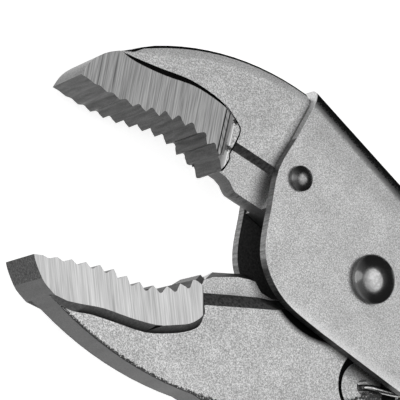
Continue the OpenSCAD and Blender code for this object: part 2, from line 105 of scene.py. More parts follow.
class Slot(Enum):
    """Material slots of the record."""

    PRESSED = "pressed_steel"
    FORGED = "forged_steel"
    STAMPED = "stamped_steel"
    RIVET = "rivet_steel"
    SCREW = "screw_steel"
    KNOB = "knob_steel"
    SPRING = "spring_steel"


class Pick(Enum):
    """Kinds of element that edit mode selects."""

    VERT = "VERT"
    EDGE = "EDGE"
    FACE = "FACE"


def place(x: float, y: float, z: float = 0.0) -> Vector:
    """Turn a point in millimetres from the main pivot into metres in the part's frame."""
    return PIVOT + Vector((x, y, z)) * MM


def from_pivot(point: Vector) -> Vector:
    """Return a point of the part's frame in millimetres from the main pivot."""
    return (point - PIVOT) / MM


def step(value: float, low: float, high: float) -> float:
    """Return 0 below low, 1 above high, and a smooth rise between them."""
    t = min(1.0, max(0.0, (value - low) / (high - low)))
    return t * t * (3 - 2 * t)


def linear(hex_colour: str) -> tuple[float, float, float, float]:
    """Turn an sRGB hex colour into the linear colour that shaders take.

    Args:
        hex_colour: Six hex digits, with or without a leading hash.

    Returns:
        Red, green, blue and an alpha of one.
    """
    digits = hex_colour.lstrip("#")
    parts = [int(digits[i:i + 2], 16) / 255 for i in (0, 2, 4)]
    red, green, blue = (p / 12.92 if p <= 0.04045 else ((p + 0.055) / 1.055) ** 2.4 for p in parts)
    return red, green, blue, 1.0


# Shader nodes


def per_mm(size_mm: float) -> float:
    """Return the texture scale whose features are about size_mm across."""
    return 1000 / size_mm


def add_node(tree: Tree, kind: str, inputs: dict[int | str, object] | None = None, output: int | str = 0,
             stops: Sequence[tuple[float, str]] = (), **settings: object) -> Socket | None:
    """Add a shader node with its settings and links.

    Args:
        tree: Node tree of the material.
        kind: Node type without the ShaderNode prefix.
        inputs: Sockets by number or name, each with an output to link or a plain value. MapRange
            takes its value, the range's two ends and what these become at 0 to 4, and Mix takes the
            share at 0, the colour under at 6 and the colour over at 7.
        output: Number or name of the output that is wanted.
        stops: Positions with their hex colours, in rising order, for a colour ramp.
        **settings: Properties of the node.

    Returns:
        The wanted output, or nothing for a node without outputs.
    """
    node = tree.nodes.new("ShaderNode" + kind)
    for name, value in settings.items():
        setattr(node, name, value)
    while stops and len(node.color_ramp.elements) < len(stops):
        node.color_ramp.elements.new(1.0)
    for i, (position, colour) in enumerate(stops):
        node.color_ramp.elements[i].position = position
        node.color_ramp.elements[i].color = linear(colour)
    for key, value in (inputs or {}).items():
        if isinstance(value, Socket):
            tree.links.new(value, node.inputs[key])
        else:
            node.inputs[key].default_value = value
    return node.outputs[output] if node.outputs else None


def clouded(tree: Tree, fine: Socket, greys: Sequence[tuple[float, str]], coarse: Socket,
            tones: Sequence[tuple[float, str]]) -> Socket:
    """Turn one noise into greys and darken them by the tones of another.

    Args:
        tree: Node tree of the material.
        fine: Noise that gives the greys.
        greys: Colour stops of the greys.
        coarse: Noise that gives the tones.
        tones: Colour stops of the tones, of which white changes nothing.

    Returns:
        The resulting colour.
    """
    base = add_node(tree, "ValToRGB", {0: fine}, stops=greys)
    cloud = add_node(tree, "ValToRGB", {0: coarse}, stops=tones)
    return add_node(tree, "Mix", {0: 1.0, 6: base, 7: cloud}, 2, data_type="RGBA", blend_type="MULTIPLY")


def painted(tree: Tree, under: Socket, layers: Sequence[tuple[Socket, str | Socket]]) -> Socket:
    """Paint layers over a colour, each where its mask is high.

    Args:
        tree: Node tree of the material.
        under: Colour below all layers.
        layers: Mask of each layer with its hex colour or colour output, from the lowest up.

    Returns:
        The colour with all layers on it.
    """
    for mask, colour in layers:
        over = linear(colour) if isinstance(colour, str) else colour
        under = add_node(tree, "Mix", {0: mask, 6: under, 7: over}, 2, data_type="RGBA")
    return under


def embossed(tree: Tree, colour: Socket, relief: Socket, strength: float, depth_mm: float,
             values: dict[str, object]) -> Socket:
    """Return the shader of a surface whose relief follows a noise, with further values by name."""
    normal = add_node(tree, "Bump", {"Height": relief, "Strength": strength, "Distance": depth_mm * MM})
    return add_node(tree, "BsdfPrincipled", {"Base Color": colour, "Normal": normal, **values})


def across(tree: Tree, coordinates: Socket, angle: float, at: float) -> Socket:
    """Measure how far a point lies past a straight line, in metres.

    Args:
        tree: Node tree of the material.
        coordinates: Vector output to read.
        angle: Direction of the line in degrees from X.
        at: Distance of the line from the main pivot in millimetres, along its right-hand normal.

    Returns:
        The signed distance, rising to the right of the line.
    """
    way = math.radians(angle - 90)
    normal = (math.cos(way), math.sin(way), 0.0)
    along = add_node(tree, "VectorMath", {0: coordinates, 1: normal}, "Value", operation="DOT_PRODUCT")
    start = PIVOT.x * normal[0] + PIVOT.y * normal[1] + at * MM
    return add_node(tree, "Math", {0: along, 1: start}, operation="SUBTRACT")


def far_from(tree: Tree, coordinates: Socket, x: float, y: float) -> Socket:
    """Measure how far a point lies from another, seen along Z, in metres.

    Args:
        tree: Node tree of the material.
        coordinates: Vector output to read.
        x: Place of the other point along X in millimetres from the main pivot.
        y: The same along Y.

    Returns:
        The distance.
    """
    middle = place(x, y)
    flat = add_node(tree, "Mapping", {"Vector": coordinates, "Scale": (1.0, 1.0, 0.0)})
    return add_node(tree, "VectorMath", {0: flat, 1: (middle.x, middle.y, 0.0)}, "Value", operation="DISTANCE")


def line_at(tree: Tree, coordinates: Socket, angle: float, at: float, width_mm: float) -> Socket:
    """Return 1 on a straight line of the given width, falling softly to 0 beside it."""
    far = add_node(tree, "Math", {0: across(tree, coordinates, angle, at)}, operation="ABSOLUTE")
    return add_node(tree, "MapRange", {0: far, 1: width_mm * 0.25 * MM, 2: width_mm * 0.75 * MM, 3: 1.0, 4: 0.0})


def spot_at(tree: Tree, coordinates: Socket, x: float, y: float, size_mm: float) -> Socket:
    """Mark a ragged spot, seen along Z.

    Args:
        tree: Node tree of the material.
        coordinates: Vector output to read.
        x: Place of the spot along X in millimetres from the main pivot.
        y: The same along Y.
        size_mm: Width of the spot.

    Returns:
        1 inside the spot and 0 outside.
    """
    ragged = add_node(tree, "TexNoise", {"Vector": coordinates, "Scale": per_mm(0.35)})
    ragged = add_node(tree, "MapRange", {0: ragged, 1: LOW, 2: HIGH, 3: 0.5, 4: 1.5})
    far = add_node(tree, "Math", {0: far_from(tree, coordinates, x, y), 1: ragged}, operation="MULTIPLY")
    return add_node(tree, "MapRange", {0: far, 1: size_mm * 0.4 * MM, 2: size_mm * 0.6 * MM, 3: 1.0, 4: 0.0})


# Finishes


@dataclass(frozen=True)
class Finish:
    """A steel surface. Each kind of surface sets its own nodes in dress()."""

    title: str

    def material(self) -> bpy.types.Material:
        """Build the material, or find it if it is built already.

        Returns:
            The material of this finish.
        """
        found = bpy.data.materials.get(self.title)
        if found:
            return found
        made = bpy.data.materials.new(self.title)
        made.use_nodes = True
        tree = made.node_tree
        tree.nodes.clear()
        shader = self.dress(tree, add_node(tree, "TexCoord", None, "Object"))
        add_node(tree, "OutputMaterial", {"Surface": shader})
        return made

    def dress(self, tree: Tree, coordinates: Socket) -> Socket:
        """Add the nodes of this finish, and return its shader's output."""
        raise NotImplementedError


@dataclass(frozen=True)
class BlastedSteel(Finish):
    """Steel blasted with fine grit and plated with satin nickel: an even grey with sparkling grain.

    Where the piece's shade attribute is high, as on rolled edges, painted shade darkens the metal
    in place of the dark reflections there.
    """

    light: str = "#F3F3F3"
    dark: str = "#B2B2B2"
    # Colour of the painted shade.
    painted_shade: str = "#1B1B1B"
    grain_mm: float = 0.22
    mottle_mm: float = 5.0
    roughness: float = 0.46
    unevenness: float = 0.08
    bump: float = 0.45
    metal: float = 1.0

    def dress(self, tree: Tree, coordinates: Socket) -> Socket:
        """Lay grit grain, soft mottling, marks and the film over the steel's grey.

        Args:
            tree: Node tree of the material.
            coordinates: Vector output to read.

        Returns:
            The shader's output.
        """
        # Real grit pits are about 0.1 mm: they are drawn coarser, so that they show.
        grain = add_node(tree, "TexNoise", {"Vector": coordinates, "Scale": per_mm(self.grain_mm), "Detail": 1.0})
        mottle = add_node(tree, "TexNoise", {"Vector": coordinates, "Scale": per_mm(self.mottle_mm)})
        grey = clouded(tree, grain, [(0.32, self.dark), (0.68, self.light)],
                       mottle, [(LOW, "#F0F0F0"), (HIGH, "#FFFFFF")])
        grey = self.marked(tree, coordinates, grey)
        # The painted shade's strength follows the grain, so its edge is ragged.
        shade = add_node(tree, "Attribute", None, "Fac", attribute_name=SHADE)
        speck = add_node(tree, "MapRange", {0: grain, 1: LOW, 2: HIGH, 3: 0.95, 4: 1.35})
        painted_shade = add_node(tree, "Math", {0: shade, 1: speck}, operation="MULTIPLY", use_clamp=True)
        grey = painted(tree, grey, [(painted_shade, self.painted_shade)])
        rough = add_node(tree, "MapRange", {0: grain, 1: LOW, 2: HIGH, 3: self.roughness + self.unevenness,
                                            4: self.roughness - self.unevenness})
        # Where the painted shade is strong, the metal turns matt and no gloss is left.
        metallic = add_node(tree, "MapRange", {0: painted_shade, 1: 0.25, 2: 0.65, 3: self.metal, 4: 0.0})
        return embossed(tree, grey, grain, self.bump, self.grain_mm * 0.25,
                        {"Metallic": metallic, "Roughness": rough, "Specular IOR Level": 0.0})

    def marked(self, tree: Tree, coordinates: Socket, grey: Socket) -> Socket:
        """Return the grey with marks of the surface drawn over it, here none."""
        return grey


@dataclass(frozen=True)
class StepSteel(BlastedSteel):
    """The blasted step behind the teeth: ground beside the chamfer up to an edge with a painted highlight, with
    dents.

    Each dent is given by its place, its size and its strength.
    """

    edge_angle: float = 109.5
    edge_at: float = -35.35
    edge_mm: float = 0.26
    strip_mm: float = 1.2
    dents: tuple[tuple[float, float, float, float], ...] = (
        (-38.5, 1.2, 1.3, 0.7), (-37.9, 1.5, 0.9, 0.85), (-39.6, 6.6, 1.2, 0.95))

    def marked(self, tree: Tree, coordinates: Socket, grey: Socket) -> Socket:
        """Draw the ground strip, the painted highlight along its edge and the dents.

        Args:
            tree: Node tree of the material.
            coordinates: Vector output to read.
            grey: Colour of the bare surface.

        Returns:
            The colour with the marks.
        """
        past = across(tree, coordinates, self.edge_angle, self.edge_at)
        strip = add_node(tree, "MapRange", {0: past, 1: -0.1 * MM, 2: 0.1 * MM, 3: 1.0, 4: 0.0})
        near = add_node(tree, "MapRange", {0: past, 1: -self.strip_mm * MM, 2: -0.1 * MM})
        tone = add_node(tree, "ValToRGB", {0: near}, stops=[(0.0, "#8B8B8B"), (0.8, "#C5C5C5")])
        # Painted highlight: a near-white line along the edge.
        edge = line_at(tree, coordinates, self.edge_angle, self.edge_at, self.edge_mm)
        layers = [(strip, tone), (edge, "#FAFAFA")]
        for x, y, size, strength in self.dents:
            spot = add_node(tree, "Math", {0: spot_at(tree, coordinates, x, y, size), 1: strength},
                            operation="MULTIPLY")
            layers.append((spot, "#202020"))
        return painted(tree, grey, layers)


@dataclass(frozen=True)
class TrimmedSteel(BlastedSteel):
    """The moving jaw's blasted body, torn dark and bright along its lower border by the trimming die.

    The border is an arc round the middle. A painted shadow lies in the hollow beside the fixed
    handle's cheek, a crescent between a straight line and another arc.
    """

    middle: tuple[float, float] = (-40.103, 22.502)
    radius: float = 66.401
    band_mm: float = 0.42
    torn_mm: float = 0.3
    hollow: tuple[float, float] = (-7.6, -1.3)
    hollow_radii: tuple[float, float] = (15.4, 16.5)
    hollow_line: tuple[float, float] = (5.7, 14.0)

    def marked(self, tree: Tree, coordinates: Socket, grey: Socket) -> Socket:
        """Draw the painted shadow in the hollow, a dark crescent, and the torn band along the border.

        Args:
            tree: Node tree of the material.
            coordinates: Vector output to read.
            grey: Colour of the bare surface.

        Returns:
            The colour with the marks.
        """
        # Painted shadow of the cheek's edge, dark in the hollow.
        inner, outer = (radius * MM for radius in self.hollow_radii)
        inside = add_node(tree, "MapRange", {0: far_from(tree, coordinates, *self.hollow), 1: inner, 2: outer,
                                             3: 1.0, 4: 0.0})
        below = add_node(tree, "MapRange", {0: across(tree, coordinates, *self.hollow_line), 1: 0.0, 2: 0.3 * MM})
        crescent = add_node(tree, "Math", {0: inside, 1: below}, operation="MULTIPLY")
        torn = add_node(tree, "TexNoise", {"Vector": coordinates, "Scale": per_mm(0.5)})
        torn = add_node(tree, "MapRange", {0: torn, 1: LOW, 2: HIGH, 3: -self.torn_mm * MM, 4: self.torn_mm * MM})
        reach = add_node(tree, "Math", {0: far_from(tree, coordinates, *self.middle), 1: torn}, operation="ADD")
        start = (self.radius - self.band_mm) * MM
        band = add_node(tree, "MapRange", {0: reach, 1: start - 0.08 * MM, 2: start + 0.08 * MM, 3: 0.0, 4: 0.9})
        chips = add_node(tree, "TexNoise", {"Vector": coordinates, "Scale": per_mm(0.3), "Detail": 1.0})
        tone = add_node(tree, "ValToRGB", {0: chips},
                        stops=[(0.4, "#161616"), (0.62, "#4A4A4A"), (0.72, "#E0E0E0")])
        return painted(tree, grey, [(crescent, "#0E0E0E"), (band, tone)])


@dataclass(frozen=True)
class CheekSteel(BlastedSteel):
    """The fixed handle's blasted sheet, lighter along the straight lower edge of its cheeks."""

    edge_angle: float = 4.0
    edge_at: float = 15.07

    def marked(self, tree: Tree, coordinates: Socket, grey: Socket) -> Socket:
        """Brighten the border along the lower edge.

        Args:
            tree: Node tree of the material.
            coordinates: Vector output to read.
            grey: Colour of the bare surface.

        Returns:
            The colour with the bright border.
        """
        past = across(tree, coordinates, self.edge_angle, self.edge_at)
        lighter_band = add_node(tree, "MapRange", {0: past, 1: -2.2 * MM, 2: -0.4 * MM, 3: 0.0, 4: 0.55})
        return painted(tree, grey, [(lighter_band, "#FFFFFF")])


@dataclass(frozen=True)
class GroundSteel(Finish):
    """Steel ground on a coarse belt: straight lines across the jaw, lighter and darker by turns.

    The lines run along angle, in degrees from X. Seams are thin dark lines, where one pass of the
    belt ended, each given by its distance from the main pivot.
    """

    light: str
    dark: str
    score: str
    angle: float
    roughness: float = 0.34
    metallic: float = 1.0
    seams: tuple[float, ...] = ()
    seam_angle: float = 109.5
    seam_mm: float = 0.26

    def dress(self, tree: Tree, coordinates: Socket) -> Socket:
        """Draw the belt's lines, scores and seams.

        Args:
            tree: Node tree of the material.
            coordinates: Vector output to read.

        Returns:
            The shader's output.
        """
        turned = add_node(tree, "VectorRotate", {"Vector": coordinates, "Angle": math.radians(-self.angle)},
                          rotation_type="Z_AXIS")
        # Lines run 25 to 40 times as long as they are wide.
        fine = add_node(tree, "Mapping", {"Vector": turned, "Scale": (0.03, 1.0, 0.2)})
        broad = add_node(tree, "Mapping", {"Vector": turned, "Scale": (0.04, 1.0, 0.2)})
        # Belt grit of 0.1 mm is drawn at 0.24 mm, so that it shows.
        lines = add_node(tree, "TexNoise", {"Vector": fine, "Scale": per_mm(0.24), "Roughness": 0.6})
        bands = add_node(tree, "TexNoise", {"Vector": broad, "Scale": per_mm(1.6)})
        scores = add_node(tree, "TexNoise", {"Vector": fine, "Scale": per_mm(0.6), "Detail": 1.0,
                                             "Roughness": 0.4})
        grey = clouded(tree, lines, [(0.33, self.dark), (0.66, self.light)],
                       bands, [(LOW, "#EBEBEB"), (HIGH, "#FFFFFF")])
        deep = add_node(tree, "MapRange", {0: scores, 1: 0.27, 2: 0.33, 3: 0.5, 4: 0.0})
        # The shade attribute darkens the grey here, as towards the nose's tip.
        shade = add_node(tree, "Attribute", None, "Fac", attribute_name=SHADE)
        layers = [(deep, self.score), (shade, "#1C1C1C")]
        for seam in self.seams:
            layers.append((line_at(tree, coordinates, self.seam_angle, seam, self.seam_mm), "#1E1E1E"))
        if len(self.seams) > 1:
            layers.append((self.chatter(tree, coordinates), "#2E2E2E"))
        return embossed(tree, painted(tree, grey, layers), lines, 0.25, 0.03,
                        {"Metallic": self.metallic, "Roughness": self.roughness, "Specular IOR Level": 0.0})

    def chatter(self, tree: Tree, coordinates: Socket) -> Socket:
        """Mark short slanting strokes between the first two seams, left by the belt's edge.

        Args:
            tree: Node tree of the material.
            coordinates: Vector output to read.

        Returns:
            How strong the strokes are.
        """
        first, second = sorted(self.seams)[:2]
        gap = (second - first) * MM
        far = add_node(tree, "Math", {0: across(tree, coordinates, self.seam_angle, (first + second) / 2)},
                       operation="ABSOLUTE")
        inside = add_node(tree, "MapRange", {0: far, 1: gap * 0.4, 2: gap * 0.5, 3: 0.45, 4: 0.0})
        turned = add_node(tree, "VectorRotate", {"Vector": coordinates, "Angle": math.radians(35)},
                          rotation_type="Z_AXIS")
        waves = add_node(tree, "TexWave", {"Vector": turned, "Scale": 300.0, "Distortion": 1.5,
                                           "Detail Scale": 2.0}, "Fac", bands_direction="Y")
        stroke = add_node(tree, "MapRange", {0: waves, 1: 0.72, 2: 0.9})
        return add_node(tree, "Math", {0: stroke, 1: inside}, operation="MULTIPLY")


@dataclass(frozen=True)
class CutSteel(Finish):
    """Hardened steel left as the cutter or the die made it: darker, with faint lines along one axis.

    A border, if it has one, is black beyond border_mm from the middle plane.
    """

    light: str
    dark: str
    roughness: float = 0.5
    line_mm: float = 0.5
    stretch: float = 0.12
    metallic: float = 1.0
    axis: int = 2
    contrast: str = "#D5D5D5"
    border_mm: float = 0.0

    def dress(self, tree: Tree, coordinates: Socket) -> Socket:
        """Draw lines along the axis with specks over them.

        Args:
            tree: Node tree of the material.
            coordinates: Vector output to read.

        Returns:
            The shader's output.
        """
        scale = [1.0, 1.0, 1.0]
        scale[self.axis] = self.stretch
        along = add_node(tree, "Mapping", {"Vector": coordinates, "Scale": scale})
        lines = add_node(tree, "TexNoise", {"Vector": along, "Scale": per_mm(self.line_mm)})
        specks = add_node(tree, "TexNoise", {"Vector": coordinates, "Scale": per_mm(0.3)})
        grey = clouded(tree, lines, [(LOW, self.dark), (HIGH, self.light)],
                       specks, [(LOW, self.contrast), (HIGH, "#FFFFFF")])
        # The shade attribute paints shade here, as in the corners of the moving jaw's walls.
        layers = [(add_node(tree, "Attribute", None, "Fac", attribute_name=SHADE), "#1A1A1A")]
        if self.border_mm:
            layers.append((self.border(tree, coordinates, specks), "#181818"))
        return embossed(tree, painted(tree, grey, layers), specks, 0.2, 0.04,
                        {"Metallic": self.metallic, "Roughness": self.roughness, "Specular IOR Level": 0.0})

    def border(self, tree: Tree, coordinates: Socket, specks: Socket) -> Socket:
        """Mark what lies beyond border_mm from the middle plane, with a ragged edge.

        Args:
            tree: Node tree of the material.
            coordinates: Vector output to read.
            specks: Noise that the edge follows.

        Returns:
            How strong the border is.
        """
        height = add_node(tree, "SeparateXYZ", {0: coordinates}, "Z")
        height = add_node(tree, "Math", {0: height, 1: PIVOT.z}, operation="SUBTRACT")
        height = add_node(tree, "Math", {0: height}, operation="ABSOLUTE")
        ragged = add_node(tree, "MapRange", {0: specks, 1: LOW, 2: HIGH, 3: -0.25 * MM, 4: 0.25 * MM})
        height = add_node(tree, "Math", {0: height, 1: ragged}, operation="ADD")
        return add_node(tree, "MapRange", {0: height, 1: (self.border_mm - 0.08) * MM,
                                           2: (self.border_mm + 0.08) * MM, 3: 0.0, 4: 0.85})


@dataclass(frozen=True)
class PolishedSteel(Finish):
    """Steel pressed or drawn to a polish and nickel plated: near mirror, with faint handling marks.

    Where the piece's shade attribute is high, painted shade dims the mirror.
    """

    colour: str
    wear_and_fade: str
    roughness: float
    unevenness: float = 0.06

    def dress(self, tree: Tree, coordinates: Socket) -> Socket:
        """Lay faint marks and painted shade over the polish.

        Args:
            tree: Node tree of the material.
            coordinates: Vector output to read.

        Returns:
            The shader's output.
        """
        marks = add_node(tree, "TexNoise", {"Vector": coordinates, "Scale": per_mm(0.8), "Detail": 4.0,
                                            "Roughness": 0.6})
        grey = add_node(tree, "ValToRGB", {0: marks}, stops=[(0.35, self.wear_and_fade), (0.6, self.colour)])
        # Painted shade, strongest on the slopes, in place of dark reflections.
        shade = add_node(tree, "Attribute", None, "Fac", attribute_name=SHADE)
        patchy = add_node(tree, "MapRange", {0: marks, 1: LOW, 2: HIGH, 3: 0.85, 4: 1.15})
        painted_dimming = add_node(tree, "Math", {0: shade, 1: patchy}, operation="MULTIPLY")
        rough = add_node(tree, "MapRange", {0: marks, 1: LOW, 2: HIGH, 3: self.roughness + self.unevenness,
                                            4: self.roughness})
        ripple = add_node(tree, "TexNoise", {"Vector": coordinates, "Scale": per_mm(0.22), "Detail": 1.0})
        return embossed(tree, painted(tree, grey, [(painted_dimming, "#101010")]), ripple, 0.3, 0.012,
                        {"Metallic": 1.0, "Roughness": rough})


# Grit-blasted forgings and sheet under satin nickel: pale, even and sparkling.
BODY = BlastedSteel("blasted_nickel_forging")
PLATEAU = StepSteel("blasted_nickel_coarse", "#F3F3F3", "#AFAFAF", grain_mm=0.36, bump=0.5)
LOWER_BODY = TrimmedSteel("blasted_trimmed_forging")
SHEET = BlastedSteel("blasted_nickel_sheet", "#F5F5F5", "#B7B7B7")
CHEEK = CheekSteel("blasted_nickel_cheek", "#F5F5F5", "#B7B7B7")
# The nose is worn by use: greyer and smoother.
NOSE = BlastedSteel("worn_upper_nose", "#B1B1B1", "#858585", grain_mm=0.3, bump=0.3)
# The rounded back was tumbled matt, so it scatters light and stays as pale as the flats beside it.
BACK = BlastedSteel("tumbled_rounded_back", "#F3F3F3", "#B9B9B9", metal=0.1)

# Flanks ground on a belt: brushed lines that catch the light as one.
# The upper flank's greys are painted darker than the lower's: painted shade, for the weaker reflection of lines
# ground at another angle.
UPPER_FLANK = GroundSteel("ground_upper_flank", "#B5B5B5", "#838383", "#3A3A3A", 113, seams=(-38.08, -37.2))
LOWER_FLANK = GroundSteel("ground_lower_flank", "#DADADA", "#B8B8B8", "#8A8A8A", 131, seams=(-36.62,),
                          seam_angle=124, seam_mm=0.5)
# Deep scratches along the chamfer scatter light like paper, so it has no mirror part.
CHAMFER = GroundSteel("ground_rear_chamfer", "#D7D7D7", "#8E8E8E", "#6A6A6A", 113, 0.5, 0.0, (-37.1,))

# Broached teeth and milled cutter ramps, bare, with faint lines along the cut. Their dark colour is
# painted shade, in place of the dark reflections these faces show; the lower jaw's are painted darker.
TEETH = CutSteel("broached_teeth", "#626262", "#4A4A4A", 0.42)
LOWER_TEETH = CutSteel("broached_lower_teeth", "#5C5C5C", "#434343", 0.42)
RAMP = CutSteel("milled_cutter_ramp", "#848484", "#545454")
LOWER_RAMP = CutSteel("milled_lower_cutter_ramp", "#5C5C5C", "#3A3A3A")

# Matt faces with no mirror part. The walls' dark colour is painted shade, where the real walls lie in
# shadow; the tooth ends keep forging scale, left where the wheel can't reach.
WALL = CutSteel("wall_painted_shade", "#202020", "#101010", metallic=0.0)
# The lower wall's own grey is plain; the shade attribute paints shade into its corner with the body.
LOWER_WALL = CutSteel("lower_wall_painted_shade", "#8C8C8C", "#777777", 0.45, metallic=0.0)
TOOTH_END = CutSteel("forged_tooth_end_scale", "#7E7E7E", "#626262", metallic=0.0)
# Painted shade: the inside of the channel is painted dark.
INSIDE = CutSteel("inner_sheet_painted_shade", "#464646", "#343434", 0.6, metallic=0.0)
# Dark edges: the moving jaw's trimmed seam is a real mark; the other dark edges are painted shade.
DARK_EDGE = CutSteel("trim_mark_and_painted_shade_edge", "#242424", "#101010", 0.6, metallic=0.0)

# Trimmed and sheared faces: smooth mid grey, with the die's short lines on the nose.
# The undersides look down, away from the lamps; their darker grey is partly painted shade.
UNDERSIDE = CutSteel("trimmed_underside", "#6D6D6D", "#626262", line_mm=2.0, border_mm=3.4)
UNDER_NOSE = CutSteel("trimmed_nose_underside", "#6D6D6D", "#626262", line_mm=2.0)
NOSE_CUT = CutSteel("sheared_nose", "#6E6E6E", "#373737", line_mm=0.3, stretch=0.2, axis=1, contrast="#A8A8A8")
SHEET_EDGE = CutSteel("sheared_sheet_edge", "#A2A2A2", "#727272", 0.45, 0.4)
# The sheared edges that face down are painted darker than the others: painted shade.
LOWER_EDGE = CutSteel("sheared_lower_edge_painted_shade", "#7C7C7C", "#5A5A5A", 0.45, 0.4)

# Polished or drawn steel: sharp highlights, softer where it is worn or tumbled.
BRIGHT_EDGE = PolishedSteel("worn_bright_edge", "#DCDCDC", "#B0B0B0", 0.3)
RIVET = PolishedSteel("polished_nickel_rivet", "#BCBCBC", "#A0A0A0", 0.13)
SMALL_RIVET = PolishedSteel("tumbled_nickel_rivet", "#A8A8A8", "#7C7C7C", 0.22)
WIRE = PolishedSteel("drawn_spring_wire", "#D5D5D5", "#A5A5A5", 0.2)

# Tumbled plate, oiled turned thread and knurled nickel: greyer than the handles.
PLATE = BlastedSteel("tumbled_plate", "#A8A8A8", "#7B7B7B", grain_mm=0.4)
SCREW = CutSteel("oiled_turned_screw", "#898989", "#696969", 0.32, 0.5, 1.0)
KNOB = BlastedSteel("knurled_nickel_knob", "#C8C8C8", "#9C9C9C", grain_mm=0.3, roughness=0.34)


# Working on meshes


def alone(piece: Piece) -> None:
    """Select one object and make it active.

    Args:
        piece: Object to select.
    """
    for other in bpy.context.view_layer.objects:
        other.select_set(False)
    piece.select_set(True)
    bpy.context.view_layer.objects.active = piece


@contextmanager
def editing(piece: Piece, pick: Pick, everything: bool = True) -> Iterator[None]:
    """Open a piece in edit mode.

    Args:
        piece: Object to work on.
        pick: Kind of element that is selected.
        everything: True to select the whole mesh first.

    Yields:
        Nothing, while edit mode is open.
    """
    alone(piece)
    bpy.ops.object.mode_set(mode="EDIT")
    bpy.ops.mesh.select_mode(type=pick.value)
    if everything:
        bpy.ops.mesh.select_all(action="SELECT")
    yield
    bpy.ops.object.mode_set(mode="OBJECT")


def face_outwards() -> None:
    """Turn all faces of the mesh in edit mode outwards."""
    bpy.ops.mesh.select_all(action="SELECT")
    bpy.ops.mesh.normals_make_consistent(inside=False)


def weld(piece: Piece, reach: float = WELD) -> None:
    """Merge a piece's doubled points and turn its faces outwards.

    Args:
        piece: Object to clean.
        reach: Distance in metres under which points are merged.
    """
    with editing(piece, Pick.VERT):
        bpy.ops.mesh.remove_doubles(threshold=reach)
        face_outwards()


def apply_modifier(piece: Piece, kind: str, **settings: object) -> None:
    """Add a modifier with its settings and apply it.

    Args:
        piece: Object to shape.
        kind: Modifier type.
        **settings: Properties of the modifier.
    """
    alone(piece)
    modifier = piece.modifiers.new(kind.lower(), kind)
    for name, value in settings.items():
        setattr(modifier, name, value)
    bpy.ops.object.modifier_apply(modifier=modifier.name)


def settle(piece: Piece) -> None:
    """Move a piece's place, turn and size into its mesh."""
    alone(piece)
    bpy.ops.object.transform_apply(location=True, rotation=True, scale=True)


def copy_of(node: str, name: str, flat: float = 0.4) -> Piece:
    """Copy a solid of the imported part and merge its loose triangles.

    Args:
        node: Name of the solid.
        name: Name of the new piece.
        flat: Angle in degrees under which neighbouring faces become one.

    Returns:
        The merged copy, with no materials.
    """
    mesh = frame["nodes"][node].data.copy()
    mesh.materials.clear()
    piece = bpy.data.objects.new(name, mesh)
    bpy.context.scene.collection.objects.link(piece)
    alone(piece)
    if mesh.has_custom_normals:
        bpy.ops.mesh.customdata_custom_splitnormals_clear()
    weld(piece, 2 * WELD)
    with editing(piece, Pick.FACE):
        bpy.ops.mesh.dissolve_limited(angle_limit=math.radians(flat))
    return piece


def smooth(piece: Piece, degrees: float = 38) -> None:
    """Shade a piece smooth, with flats kept flat.

    Args:
        piece: Object to shade.
        degrees: Angle from which an edge stays crisp.
    """
    alone(piece)
    bpy.ops.object.shade_smooth_by_angle(angle=math.radians(degrees))
    apply_modifier(piece, "WEIGHTED_NORMAL", keep_sharp=True, weight=60)


def dress_faces(piece: Piece, finishes: Sequence[Finish], choose: Callable[[Vector, Vector], Finish]) -> None:
    """Give each face the finish that its place and direction call for.

    Args:
        piece: Object to dress.
        finishes: All finishes of the piece, in slot order.
        choose: Takes a face's middle in millimetres and its normal, and returns its finish.
    """
    for finish in finishes:
        piece.data.materials.append(finish.material())
    for face in piece.data.polygons:
        face.material_index = finishes.index(choose(from_pivot(face.center), face.normal))


def shade_by(piece: Piece, rule: Callable[[Vector, Vector], float]) -> None:
    """Store how dark the film is at each corner of the mesh.

    Args:
        piece: Object to paint.
        rule: Takes a corner in millimetres and its normal, and returns 0 for clean to 1 for dark.
    """
    mesh = piece.data
    places = [from_pivot(v.co) for v in mesh.vertices]
    values = [min(1.0, max(0.0, rule(places[loop.vertex_index], normal.vector)))
              for loop, normal in zip(mesh.loops, mesh.corner_normals)]
    mesh.attributes.new(SHADE, "FLOAT", "CORNER").data.foreach_set("value", values)


def soften_edges(piece: Piece, width: float, weigh: Callable[[Vector, Vector, Vector], float],
                 sharp: float = 35, clamp: bool = True) -> None:
    """Bevel the edges between faces that meet at more than sharp degrees.

    Args:
        piece: Object to shape.
        width: Widest bevel in millimetres.
        weigh: Takes an edge's middle in millimetres and the normals of its faces, and returns the
            share of the width that it gets.
        sharp: Angle in degrees from which an edge counts as sharp.
        clamp: True to narrow all bevels where the closest two would meet.
    """
    mesh = piece.data
    sides: dict[tuple[int, int], list[Vector]] = {}
    for face in mesh.polygons:
        for key in face.edge_keys:
            sides.setdefault(key, []).append(face.normal)
    weights = []
    for edge in mesh.edges:
        found = sides.get(tuple(sorted(edge.vertices)), [])
        weight = 0.0
        if len(found) == 2 and found[0].angle(found[1]) > math.radians(sharp):
            a, b = (mesh.vertices[i].co for i in edge.vertices)
            weight = weigh(from_pivot((a + b) / 2), found[0], found[1])
        weights.append(weight)
    mesh.attributes.new("bevel_weight_edge", "FLOAT", "EDGE").data.foreach_set("value", weights)
    apply_modifier(piece, "BEVEL", width=width * MM, segments=2, limit_method="WEIGHT", use_clamp_overlap=clamp)


def stand_in(piece: Piece, body: Body, slot: Slot, *nodes: str) -> None:
    """Let a piece ride on a body in place of solids, and report it.

    Args:
        piece: Finished piece.
        body: Body that carries it.
        slot: Material slot of the record; not used.
        *nodes: Solids that it stands for.
    """
    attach(piece, body.value)
    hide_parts(*nodes)
    log.info("%s stands for %s on %s", piece.name, ", ".join(nodes), body.value)


# Jaws


